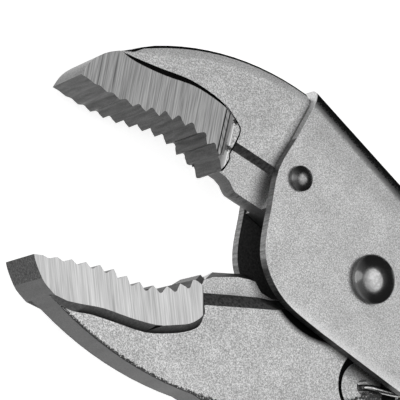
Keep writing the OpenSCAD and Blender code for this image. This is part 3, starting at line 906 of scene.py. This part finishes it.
@dataclass
class UpperJaw:
    """The fixed forged jaw: blasted body, ground flanks, dark teeth and walls, and half of the cutter.

    Half thicknesses run from the middle plane. Names in to and from are the X where a zone ends or
    begins, and names in top are the Y that it stays under.
    """

    half_body: float = 3.7
    half_grip: float = 5.7
    half_step: float = 4.6
    rim: float = 0.5
    nose_to: float = -64.4
    step_from: float = -46.0
    rim_from: float = -38.2
    rim_top: float = 5.0
    teeth_to: float = -36.0
    gullets_to: float = -38.0
    teeth_top: float = 2.0
    cutter_from: float = -37.0
    ramp_top: float = 9.0
    finishes: list[Finish] = field(default_factory=lambda: [
        BODY, BACK, UPPER_FLANK, TEETH, WALL, RAMP, PLATEAU, UNDERSIDE, DARK_EDGE, CHAMFER, NOSE])

    def weigh(self, at: Vector, one: Vector, other: Vector) -> float:
        """Give the bevel's width to the step's rear rim alone.

        Args:
            at: Middle of the edge in millimetres.
            one: Normal of one of its faces.
            other: Normal of the other face.

        Returns:
            The edge's share of the width.
        """
        flat, steep = max(abs(one.z), abs(other.z)), min(abs(one.z), abs(other.z))
        rear = flat > 0.95 and steep < 0.2 and max(one.x, other.x) > 0.2
        return float(rear and abs(abs(at.z) - self.half_step) < 0.1)

    def choose(self, at: Vector, normal: Vector) -> Finish:
        """Pick the finish of a face of the jaw.

        Args:
            at: Middle of the face in millimetres.
            normal: Direction that the face looks in.

        Returns:
            The finish of that face.
        """
        high, up = abs(at.z), abs(normal.z)
        if high > self.half_grip - 0.2 and up > 0.8:
            return UPPER_FLANK
        if at.x < self.nose_to and normal.x < -0.1 and normal.y > -0.3:
            return NOSE
        if high > self.half_step + 0.02 and normal.x > 0.3 and 0.2 < up < 0.95:
            return CHAMFER
        # Painted shadow: a dark line along the step's rear rim.
        rim = at.x > self.rim_from or at.y > self.rim_top
        if rim and high > self.half_step - 0.5 and normal.x > 0.1 and up < 0.97:
            return DARK_EDGE
        if high > self.half_body + 0.2 and up > 0.8 and at.x > self.step_from:
            return PLATEAU
        low = at.y < self.teeth_top
        if low and at.x < self.teeth_to and normal.y < -0.25 and up < 0.8:
            return TEETH
        if low and at.x < self.gullets_to and high < self.half_body and normal.y < 0.3 and up < 0.6:
            return TEETH
        if high > self.half_body + 0.05 and up < 0.8:
            return WALL
        behind = at.x > self.cutter_from
        if behind and at.y < self.ramp_top and high < self.half_body and normal.y < 0 and 0.25 < up < 0.95:
            return RAMP
        if behind and up < 0.5 and normal.y < -0.2:
            return UNDERSIDE
        # A painted dark reflection lines the rounded back where it leaves the flats.
        if 0.02 < up < 0.98 and normal.y > 0.1 and high > 0.5:
            return DARK_EDGE if 0.3 < up < 0.78 else BACK
        return BODY

    def shade(self, at: Vector, normal: Vector) -> float:
        """Return how dark the shade attribute is: darker towards the tip of the nose."""
        return step(-at.y, 1.5, 7.5) * 0.3 if normal.x < -0.1 and at.x < -55 else 0.0

    def build(self) -> Piece:
        """Build the dressed jaw.

        Returns:
            The jaw's object.
        """
        piece = copy_of("upper_jaw", "upper_jaw_forging")
        soften_edges(piece, self.rim, self.weigh, clamp=False)
        dress_faces(piece, self.finishes, self.choose)
        smooth(piece)
        shade_by(piece, self.shade)
        stand_in(piece, Body.FRAME, Slot.FORGED, "upper_jaw")
        return piece


@dataclass
class LowerJaw:
    """The moving forged jaw, with ground flanks, teeth, the other half of the cutter and its tail.

    Half thicknesses run from the middle plane. Names in to and from are the X where a zone ends or
    begins, and names in low are the Y that it stays over. One width, in millimetres, keeps the
    painted shade off the walls along the trimmed border.
    """

    half_body: float = 3.7
    half_grip: float = 5.7
    trim: float = 0.42
    nose_to: float = -51.0
    under_nose_to: float = -48.3
    block_to: float = -27.5
    block_low: float = -25.0
    teeth_low: float = -41.0
    ramp_from: float = -30.0
    ramp_to: float = -9.0
    tail_from: float = 0.0
    trim_to: float = 12.0
    shade_off: float = 1.5
    finishes: list[Finish] = field(default_factory=lambda: [
        LOWER_BODY, LOWER_FLANK, LOWER_TEETH, LOWER_WALL, LOWER_RAMP, UNDERSIDE, UNDER_NOSE, NOSE_CUT, DARK_EDGE,
        TOOTH_END])

    def weigh(self, at: Vector, one: Vector, other: Vector) -> float:
        """Give the bevel's width to the trimmed seam, and less of it to the tooth block's rear rim.

        Args:
            at: Middle of the edge in millimetres.
            one: Normal of one of its faces.
            other: Normal of the other face.

        Returns:
            The edge's share of the width.
        """
        high, flat = abs(at.z), max(abs(one.z), abs(other.z)) > 0.95
        trimmed = flat and min(one.y, other.y) < -0.4 and abs(high - self.half_body) < 0.1 and at.x < self.trim_to
        rear = flat and max(one.x, other.x) > 0.5 and abs(high - self.half_grip) < 0.1
        return 1.0 if trimmed else 0.7 * rear

    def choose(self, at: Vector, normal: Vector) -> Finish:
        """Pick the finish of a face of the jaw.

        Args:
            at: Middle of the face in millimetres.
            normal: Direction that the face looks in.

        Returns:
            The finish of that face.
        """
        high, up = abs(at.z), abs(normal.z)
        block = at.x < self.block_to
        if high > self.half_grip - 0.2 and up > 0.8:
            return LOWER_FLANK
        # Painted shadow: a dark line along the tooth block's rear rim.
        if high > self.half_grip - 0.5 and normal.x > 0.3 and 0.1 < up < 0.95:
            return DARK_EDGE
        if block and at.y > self.block_low and high > self.half_body and normal.y > 0.1 and 0.2 < up < 0.9:
            return TOOTH_END
        seam = self.half_body - 0.5 < high <= self.half_body and at.x < self.trim_to
        if seam and normal.y < -0.1 and 0.2 < up < 0.95:
            return DARK_EDGE
        if at.x < self.nose_to and normal.x < -0.4 and up < 0.7:
            return NOSE_CUT
        if block and at.y > self.teeth_low and up < 0.6 and (normal.y > 0.2 or normal.x > 0.3 and at.z < 0):
            return LOWER_TEETH
        if block and at.x > self.nose_to and high < self.half_body and normal.y > -0.3 and up < 0.6:
            return LOWER_TEETH
        if high > self.half_body + 0.05 and up < 0.8:
            return LOWER_WALL
        # Painted shade darkens the walls of the hollow for the spring's hook.
        if at.x > self.tail_from and 0.6 < high < self.half_body - 0.05 and up < 0.9:
            return DARK_EDGE
        if at.x < self.trim_to and normal.y < -0.2 and up < 0.6:
            return UNDERSIDE if at.x > self.under_nose_to else UNDER_NOSE
        if self.ramp_from < at.x < self.ramp_to and high < self.half_body and normal.y > 0 and 0.25 < up < 0.95:
            return LOWER_RAMP
        return LOWER_BODY

    def shade(self, at: Vector, normal: Vector) -> float:
        """Work out how strong the painted shade is in the corner between the tooth block's wall and the body.

        Args:
            at: Corner of the mesh in millimetres.
            normal: Direction that the surface looks in there.

        Returns:
            0 for no painted shade to 1 for black.
        """
        low = 1 - step(abs(at.z), self.half_body, self.half_grip - 0.4)
        wall = abs(at.z) > self.half_body - 0.05 and abs(normal.z) < 0.7 and normal.y < 0.1
        reach = math.hypot(at.x - LOWER_BODY.middle[0], at.y - LOWER_BODY.middle[1])
        return 0.95 * low if wall and reach < LOWER_BODY.radius - self.shade_off else 0.0

    def build(self) -> Piece:
        """Build the dressed jaw.

        Returns:
            The jaw's object.
        """
        piece = copy_of("lower_jaw", "lower_jaw_forging")
        soften_edges(piece, self.trim, self.weigh)
        dress_faces(piece, self.finishes, self.choose)
        smooth(piece)
        shade_by(piece, self.shade)
        stand_in(piece, Body.LOWER_JAW, Slot.FORGED, "lower_jaw")
        return piece


# Handles


@dataclass
class PressedHandle:
    """A handle bent from sheet: blasted outside, painted shade inside, sheared edges with a bright line.

    The sign of back says whether the handle's back looks along Y or against it. The painted shade on
    the bends, in place of their dark reflections, fades out between two X, given as a pair.
    """

    node: str
    name: str
    body: Body
    back: int
    half_outer: float = 5.925
    sheet: float = 1.95
    edge: float = 0.2
    throat_to: float = -8.0
    wear_and_fade: tuple[float, float] = (20.0, 60.0)
    outside: Finish = SHEET

    def choose(self, at: Vector, normal: Vector) -> Finish:
        """Pick the finish of a face of the handle.

        Args:
            at: Middle of the face in millimetres.
            normal: Direction that the face looks in.

        Returns:
            The finish of that face.
        """
        # Painted shade: the channel's inside gets the finish painted dark.
        if abs(at.z) < self.half_outer - self.sheet + 0.05 and at.z * normal.z < -0.05:
            return INSIDE
        high, up = abs(at.z), abs(normal.z)
        if high > self.half_outer - self.sheet - 0.05 and self.cut(at, normal):
            if up > 0.3 and high > self.half_outer - 0.25:
                return BRIGHT_EDGE
            # Edges that face down get the copy painted darker: painted shade.
            return LOWER_EDGE if normal.y < -0.7 else SHEET_EDGE
        return self.outside

    def cut(self, at: Vector, normal: Vector) -> bool:
        """Tell whether a face lies on the sheared outline of a cheek."""
        return abs(normal.z) < 0.9 and (normal.x < -0.45 and at.x < self.throat_to or normal.y < 0.2)

    def shade(self, at: Vector, normal: Vector) -> float:
        """Work out how dark the painted shade is: dark on the bends, and fading out towards the end.

        Args:
            at: Corner of the mesh in millimetres.
            normal: Direction that the surface looks in there.

        Returns:
            0 on the cheeks and along the middle of the back, up to 1 on the bends between them.
        """
        share = normal.y * self.back
        bend = min(1.0, max(0.0, share / 0.5)) ** 0.45 * step(-share, -0.995, -0.93)
        return bend * (1 - 0.75 * step(at.x, *self.wear_and_fade))

    def build(self) -> Piece:
        """Build the dressed handle.

        Returns:
            The handle's object.
        """
        piece = copy_of(self.node, self.name)
        soften_edges(piece, self.edge, lambda at, one, other: 1.0, 40)
        dress_faces(piece, [self.outside, SHEET_EDGE, LOWER_EDGE, INSIDE, BRIGHT_EDGE], self.choose)
        smooth(piece)
        shade_by(piece, self.shade)
        stand_in(piece, self.body, Slot.PRESSED, self.node)
        return piece


# Turned pieces


def turned(name: str, at: Vector, line: Sequence[tuple[float, float]], sides: int) -> Piece:
    """Turn a solid of revolution about Z, by extruding a ring from one radius and height to the next.

    Args:
        name: Name of the piece.
        at: Where the axis passes, at height zero.
        line: Radius and height of each ring in millimetres, from the start to the closed end.
        sides: Number of sides.

    Returns:
        The piece, open at its start, with its origin at the given place.
    """
    radius, height = line[0]
    bpy.ops.object.select_all(action="DESELECT")
    bpy.ops.mesh.primitive_circle_add(vertices=sides, radius=radius * MM, location=(at.x, at.y, at.z))
    piece = bpy.context.object
    piece.name = name
    with editing(piece, Pick.EDGE):
        bpy.ops.transform.translate(value=(0, 0, height * MM))
        for next_radius, next_height in line[1:]:
            rise = (0, 0, (next_height - height) * MM)
            bpy.ops.mesh.extrude_region_move(TRANSFORM_OT_translate={"value": rise})
            scale = next_radius / radius
            bpy.ops.transform.resize(value=(scale, scale, 1), center_override=(at.x, at.y, at.z))
            radius, height = next_radius, next_height
        bpy.ops.mesh.edge_face_add()
        face_outwards()
    return piece


def rivet_at(node: str) -> tuple[float, float]:
    """Find where the axis of a rivet's solid passes.

    Args:
        node: Name of the rivet's solid.

    Returns:
        X and Y in millimetres from the main pivot.
    """
    low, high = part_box(node)
    middle = from_pivot((low + high) / 2)
    return middle.x, middle.y


@dataclass
class DomedRivet:
    """A rivet through both walls, turned ring by ring, with a low rim and a dome on each head.

    Painted shade lies on the dome's slopes, in place of their dark reflections, and leaves its crown bright.
    """

    node: str
    name: str
    body: Body
    x: float
    y: float
    shank: float
    head: float
    height: float
    half_outer: float = 5.925
    rim_share: float = 0.5
    seat_share: float = 0.965
    rings: int = 14
    sides: int = 64
    # Strength of the painted shade on the slopes.
    painted_dimming: float = 0.52
    finish: Finish = RIVET

    def profile(self) -> list[tuple[float, float]]:
        """Work out the half outline from the middle of the shank to the top.

        Returns:
            Radius and height of each ring in millimetres.
        """
        low, head, shank = self.half_outer, self.head / 2, self.shank / 2
        rim = self.height * self.rim_share
        dome = self.height - rim
        seat = head * self.seat_share
        ball = (seat ** 2 + dome * dome) / (2 * dome)
        slope = math.asin(seat / ball)
        line = [(shank, 0.0), (shank, low + 0.02), (head * 0.93, low + 0.02), (head * 0.985, low + rim * 0.22),
                (head, low + rim * 0.5), (head * 0.995, low + rim * 0.8), (seat, low + rim)]
        for i in range(self.rings):
            angle = slope * (1 - (i + 1) / (self.rings + 1))
            line.append((ball * math.sin(angle), low + self.height - ball + ball * math.cos(angle)))
        return line

    def shade(self, at: Vector, normal: Vector) -> float:
        """Return how strong the painted shade is: none on the crown, more where the dome falls away."""
        return self.painted_dimming * step(math.hypot(normal.x, normal.y), 0.17, 0.3)

    def build(self) -> Piece:
        """Build the dressed rivet.

        Returns:
            The rivet's object.
        """
        piece = turned(self.name, place(self.x, self.y), self.profile(), self.sides)
        apply_modifier(piece, "MIRROR", use_axis=(False, False, True), merge_threshold=WELD)
        weld(piece)
        settle(piece)
        smooth(piece, 40)
        piece.data.materials.append(self.finish.material())
        shade_by(piece, self.shade)
        stand_in(piece, self.body, Slot.RIVET, self.node)
        return piece


# Linkage


@dataclass
class StampedPlate:
    """A stamped plate inside the handles, tumbled so that its edges are rounded."""

    node: str
    name: str
    body: Body
    edge: float = 0.35

    def weigh(self, at: Vector, one: Vector, other: Vector) -> float:
        """Return the share of the bevel: the whole along the outline, nothing inside the bores."""
        return 1.0 if abs(one.z) > 0.9 or abs(other.z) > 0.9 else 0.0

    def choose(self, at: Vector, normal: Vector) -> Finish:
        """Pick the tumbled finish for the flats and the sheared one for the outline."""
        return SHEET_EDGE if abs(normal.z) < 0.5 else PLATE

    def build(self) -> Piece:
        """Build the dressed plate.

        Returns:
            The plate's object.
        """
        piece = copy_of(self.node, self.name)
        soften_edges(piece, self.edge, self.weigh, 30)
        dress_faces(piece, [PLATE, SHEET_EDGE], self.choose)
        smooth(piece)
        shade_by(piece, lambda at, normal: 0.0)
        stand_in(piece, self.body, Slot.STAMPED, self.node)
        return piece


# Adjusting screw


@dataclass
class AdjustingScrew:
    """The adjusting screw with its cut thread, lying along X from its tip.

    The thread's ridge is given across one pitch: where its flanks reach the crest, as shares.
    """

    tip: Point = (115, -2, 0)
    radius: float = 3.6
    core: float = 2.85
    pitch: float = 1.5
    crest: tuple[float, float] = (0.42, 0.56)
    thread_from: float = 1.3
    thread_to: float = 41.0
    length: float = 45.8
    sides: int = 48
    steps: int = 24

    def rod_line(self) -> list[tuple[float, float]]:
        """Work out the rod's outline from its hidden end to the rounded tip.

        Returns:
            Radius and height of each ring in millimetres.
        """
        core, end = self.core, self.length
        return [(core - 1.5, end), (core, end), (core, end - 1), (core, 1.4), (core - 0.1, 0.9),
                (core - 0.35, 0.35), (core - 0.8, 0.08), (core - 1.3, 0.0)]

    def rod(self) -> Piece:
        """Turn the plain rod under the thread.

        Returns:
            The closed rod, lying along X.
        """
        rod = turned("adjusting_screw_rod", place(*self.tip), self.rod_line(), self.sides)
        with editing(rod, Pick.VERT):
            bpy.ops.mesh.fill_holes(sides=0)
            face_outwards()
        rod.rotation_euler = (0, math.radians(90), 0)
        settle(rod)
        return rod

    def thread(self) -> Piece:
        """Wind the thread round the rod from one open section of its ridge.

        Returns:
            The closed thread, in place.
        """
        x, y, z = self.tip
        bpy.ops.object.select_all(action="DESELECT")
        bpy.ops.mesh.primitive_plane_add(size=MM, location=place(x + self.thread_from, y, z))
        thread = bpy.context.object
        thread.name = "thread_ridge"
        with editing(thread, Pick.EDGE):
            bpy.ops.mesh.delete(type="ONLY_FACE")
        outline = [(0.0, self.core), (self.crest[0], self.radius), (self.crest[1], self.radius), (1.0, self.core)]
        chain = self.chain_order(thread)
        for vertex, (along, radius) in zip(chain, outline):
            thread.data.vertices[vertex].co = Vector((along * self.pitch, 0, radius)) * MM
        with editing(thread, Pick.EDGE):
            bpy.ops.mesh.select_all(action="DESELECT")
        for edge in thread.data.edges:
            edge.select = set(edge.vertices) == {chain[0], chain[3]}
        with editing(thread, Pick.EDGE, False):
            bpy.ops.mesh.delete(type="EDGE")
        turns = int((self.thread_to - self.thread_from) / self.pitch) - 1
        apply_modifier(thread, "SCREW", axis="X", screw_offset=self.pitch * MM, iterations=turns,
                       steps=self.steps, render_steps=self.steps, use_merge_vertices=True, merge_threshold=WELD)
        with editing(thread, Pick.VERT):
            bpy.ops.mesh.remove_doubles(threshold=WELD)
            bpy.ops.mesh.fill_holes(sides=0)
            face_outwards()
        settle(thread)
        return thread

    @staticmethod
    def chain_order(piece: Piece) -> list[int]:
        """Follow the edges of a square from its first corner.

        Args:
            piece: Object whose mesh is the square.

        Returns:
            The corners in the order in which the edges join them.
        """
        neighbours = {v.index: [] for v in piece.data.vertices}
        for edge in piece.data.edges:
            a, b = edge.vertices
            neighbours[a].append(b)
            neighbours[b].append(a)
        order = [0, neighbours[0][0]]
        while len(order) < 4:
            order.append(next(n for n in neighbours[order[-1]] if n not in order))
        return order

    def build(self) -> Piece:
        """Build the dressed screw.

        Returns:
            The screw's object.
        """
        rod, thread = self.rod(), self.thread()
        for piece in (rod, thread):
            smooth(piece, 30)
            piece.data.materials.append(SCREW.material())
        alone(rod)
        thread.select_set(True)
        bpy.ops.object.join()
        stand_in(rod, Body.ADJUSTING_SCREW, Slot.SCREW, "adjusting_screw")
        return rod


@dataclass
class KnurledKnob:
    """The knob at the screw's end, with knurled ridges whose crests are worn bright."""

    radius: float = 8.2
    wear_and_fade: float = 0.09
    edge: float = 0.14
    axis_y: float = -2.0

    def choose(self, at: Vector, normal: Vector) -> Finish:
        """Pick the worn finish for the crests of the ridges and the plain one elsewhere."""
        return BRIGHT_EDGE if math.hypot(at.y - self.axis_y, at.z) > self.radius - self.wear_and_fade else KNOB

    def build(self) -> Piece:
        """Build the dressed knob.

        Returns:
            The knob's object.
        """
        piece = copy_of("adjusting_knob", "knurled_knob")
        soften_edges(piece, self.edge, lambda at, one, other: 1.0, 30)
        dress_faces(piece, [KNOB, BRIGHT_EDGE], self.choose)
        smooth(piece, 32)
        stand_in(piece, Body.ADJUSTING_KNOB, Slot.KNOB, "adjusting_knob")
        return piece


# Spring


@dataclass
class TensionSpring:
    """The drawn wire spring: close coils with a hook at the jaw's hole and another at the anchor.

    The coils' two ends ease into the hooks over ease_angle, in degrees, and ease_reach.
    """

    hole: tuple[float, float] = (11.8, -16.2)
    anchor: tuple[float, float] = (57.0, 5.4)
    wire_d: float = 1.3
    coil_r: float = 2.7
    turns: int = 16
    pitch: float = 1.85
    points_per_turn: int = 24
    ease_angle: float = 120.0
    ease_reach: float = 2.6
    sides: int = 3

    def line(self) -> list[Point]:
        """Work out the middle line of the wire from hook to hook.

        Returns:
            The line's points in millimetres from the main pivot.
        """
        way = Vector((self.anchor[0] - self.hole[0], self.anchor[1] - self.hole[1]))
        run = way.length
        way.normalize()
        hook = [(0, -3), (0, -2), (0, -0.4), (0.02, 0.9), (0.2, 1.7), (0.65, 2.35), (1.4, 2.68),
                (2.4, self.coil_r), (4, self.coil_r), (5.6, self.coil_r)]
        whole = self.turns * 2 * math.pi
        lead_in = (run - self.turns * self.pitch) / 2
        local: list[Point] = [(along, 0.0, up) for along, up in hook]
        for i in range(self.turns * self.points_per_turn + 1):
            angle = i * 2 * math.pi / self.points_per_turn
            local.append((lead_in + self.coil_x(angle, whole), self.coil_r * math.sin(angle),
                          self.coil_r * math.cos(angle)))
        local += [(run - along, 0.0, up) for along, up in reversed(hook)]
        return [(self.hole[0] + way.x * a - way.y * b, self.hole[1] + way.y * a + way.x * b, c)
                for a, b, c in local]

    def coil_x(self, angle: float, whole: float) -> float:
        """Work out how far along the spring the coil has come.

        Args:
            angle: Angle from the start in radians.
            whole: Angle of all turns together.

        Returns:
            The distance in millimetres.
        """
        lead, ease = min(angle, whole - angle), math.radians(self.ease_angle)
        eased = 0.0 if lead >= ease else self.ease_reach * (1 - lead / ease) ** 2
        return angle / (2 * math.pi) * self.pitch + (-eased if angle < whole / 2 else eased)

    def build(self) -> Piece:
        """Build the dressed spring.

        Returns:
            The spring's object, which stretches between the fixed handle and the jaw.
        """
        data = bpy.data.curves.new("tension_spring_line", "CURVE")
        data.dimensions = "3D"
        data.bevel_depth = self.wire_d / 2 * MM
        data.bevel_resolution = self.sides
        data.use_fill_caps = True
        spline = data.splines.new("POLY")
        line = self.line()
        spline.points.add(len(line) - 1)
        for point, at in zip(spline.points, line):
            point.co = (*place(*at), 1.0)
        piece = bpy.data.objects.new("wound_tension_spring", data)
        bpy.context.scene.collection.objects.link(piece)
        alone(piece)
        bpy.ops.object.convert(target="MESH")
        piece = bpy.context.object
        weld(piece)
        smooth(piece, 50)
        piece.data.materials.append(WIRE.material())
        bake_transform(piece)
        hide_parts("tension_spring")
        log.info("%s stretches from frame to lower_jaw", piece.name)
        return piece


# Studio


@dataclass
class Studio:
    """A pale floor, two soft boxes and the camera where the photographer stood.

    The camera's place is in millimetres from the main pivot, and its focal length in pixels of a
    frame frame_px wide. The world's light rises from dim to bright along bright_way.
    """

    focal_px: float = 2021.0
    frame_px: float = 400.0
    sensor_mm: float = 36
    camera_at: Point = (-152.64, -167.23, 315.86)
    right: Point = (0.71445, 0.48190, 0.50728)
    up: Point = (-0.62519, 0.76522, 0.15357)
    back: Point = (-0.31417, -0.42687, 0.84799)
    aim: Point = (-15, 0, 0)
    paper: str = "#D8D8D8"
    paper_glow: float = 0.74
    paper_m: float = 30
    paper_below: float = 0.0003
    bright_way: Point = (-0.75, -0.66, 0.0)
    dim: float = 0.05
    bright: float = 0.55

    def camera(self) -> None:
        """Set up the camera with the photograph's view."""
        bpy.ops.object.camera_add()
        camera = bpy.context.object
        turn = Matrix((self.right, self.up, self.back)).transposed().to_4x4()
        camera.matrix_world = Matrix.Translation(place(*self.camera_at)) @ turn
        camera.data.sensor_width = self.sensor_mm
        camera.data.lens = self.focal_px / self.frame_px * self.sensor_mm
        camera.data.clip_start = 0.01
        bpy.context.scene.camera = camera

    def soft_box(self, name: str, way: Point, distance: float, size: tuple[float, float], radiance: float,
                 roll: float = 0.0) -> None:
        """Hang a soft box that looks at the jaws.

        Args:
            name: Name of the lamp.
            way: Direction from the jaws to the lamp.
            distance: Distance in metres.
            size: Width and height in metres.
            radiance: Brightness of its face, where a white surface lit all round by one gives one.
            roll: Turn about its own axis in degrees.
        """
        direction = Vector(way).normalized()
        bpy.ops.object.light_add(type="AREA", location=place(*self.aim) + direction * distance)
        lamp = bpy.context.object
        lamp.name = name
        roll_turn = Matrix.Rotation(math.radians(roll), 3, "Z").to_quaternion()
        lamp.rotation_euler = (direction.to_track_quat("Z", "Y") @ roll_turn).to_euler()
        lamp.data.shape = "ELLIPSE"
        lamp.data.size, lamp.data.size_y = size
        lamp.data.energy = radiance * math.pi * math.pi / 4 * size[0] * size[1]

    def floor(self) -> None:
        """Lay the pale floor under the pliers, white to the camera and in reflections, with their shadow."""
        bpy.ops.mesh.primitive_plane_add(size=self.paper_m, location=(0, 0, -self.paper_below))
        floor = bpy.context.object
        floor.name = "studio_floor"
        material = bpy.data.materials.new("pale_studio_paper")
        material.use_nodes = True
        tree = material.node_tree
        tree.nodes.clear()
        seen = add_node(tree, "LightPath", None, "Is Camera Ray")
        for kind in ("Is Glossy Ray", "Is Transmission Ray"):
            ray = add_node(tree, "LightPath", None, kind)
            seen = add_node(tree, "Math", {0: seen, 1: ray}, operation="ADD", use_clamp=True)
        strength = add_node(tree, "Math", {0: seen, 1: self.paper_glow}, operation="MULTIPLY")
        glow = add_node(tree, "Emission", {"Color": linear("#FFFFFF"), "Strength": strength})
        paper = add_node(tree, "BsdfDiffuse", {"Color": linear(self.paper)})
        both = add_node(tree, "AddShader", {0: glow, 1: paper})
        add_node(tree, "OutputMaterial", {"Surface": both})
        floor.data.materials.append(material)

    def world(self) -> None:
        """Light the room dimly, darker behind the fixed handle's back than in front of the jaws."""
        world = bpy.data.worlds.new("dim_studio")
        bpy.context.scene.world = world
        world.use_nodes = True
        tree = world.node_tree
        tree.nodes.clear()
        way = add_node(tree, "TexCoord", None, "Generated")
        front = add_node(tree, "VectorMath", {0: way, 1: self.bright_way}, "Value", operation="DOT_PRODUCT")
        side = add_node(tree, "MapRange", {0: front, 1: -0.25, 2: 0.55, 3: self.dim, 4: self.bright})
        background = add_node(tree, "Background", {"Color": linear("#FFFFFF"), "Strength": side})
        add_node(tree, "OutputWorld", {"Surface": background})

    def build(self) -> None:
        """Build the whole studio."""
        self.camera()
        self.floor()
        self.world()
        self.soft_box("overhead_soft_box", (0.285, 0.24, 0.928), 0.75, (0.68, 0.68), 1.25)
        self.soft_box("left_soft_box", (-0.604, -0.253, 0.757), 0.8, (0.48, 1.15), 1.0, 20)
        bpy.context.scene.view_settings.view_transform = "Standard"


def main() -> None:
    """Build the studio and each sub-assembly."""
    logging.basicConfig(level=logging.INFO, format="%(name)s: %(message)s")
    bpy.ops.object.select_all(action="DESELECT")
    Studio().build()
    UpperJaw().build()
    LowerJaw().build()
    PressedHandle("upper_handle", "fixed_handle_pressing", Body.FRAME, 1, outside=CHEEK).build()
    PressedHandle("lower_handle", "moving_handle_pressing", Body.LOWER_HANDLE, -1).build()
    DomedRivet("main_pivot_rivet", "main_pivot_rivet_head", Body.FRAME, 0, 0, 8, 9.5, 2.4).build()
    DomedRivet("upper_jaw_front_rivet", "front_rivet_head", Body.FRAME, -23.2, 5.9, 2.8, 4.9, 1.5,
               finish=SMALL_RIVET).build()
    DomedRivet("upper_jaw_rear_rivet", "rear_rivet_head", Body.FRAME, 6.6, 13, 2.8, 4.9, 1.5,
               finish=SMALL_RIVET).build()
    DomedRivet("lower_handle_rivet", "tail_rivet_head", Body.LOWER_HANDLE, 13.5, -24.5, 6, 8, 1.8).build()
    DomedRivet("toggle_link_rivet", "link_rivet_head", Body.LOWER_HANDLE, *rivet_at("toggle_link_rivet"),
               5, 7.4, 1.6).build()
    DomedRivet("release_lever_rivet", "lever_rivet_head", Body.LOWER_HANDLE, *rivet_at("release_lever_rivet"),
               4, 6, 1.4, finish=SMALL_RIVET).build()
    StampedPlate("toggle_link", "stamped_toggle_link", Body.TOGGLE_LINK).build()
    StampedPlate("release_lever", "stamped_release_lever", Body.RELEASE_LEVER).build()
    StampedPlate("spring_anchor", "stamped_spring_anchor", Body.FRAME, 0.25).build()
    AdjustingScrew().build()
    KnurledKnob().build()
    TensionSpring().build()


if __name__ == "__main__":
    main()
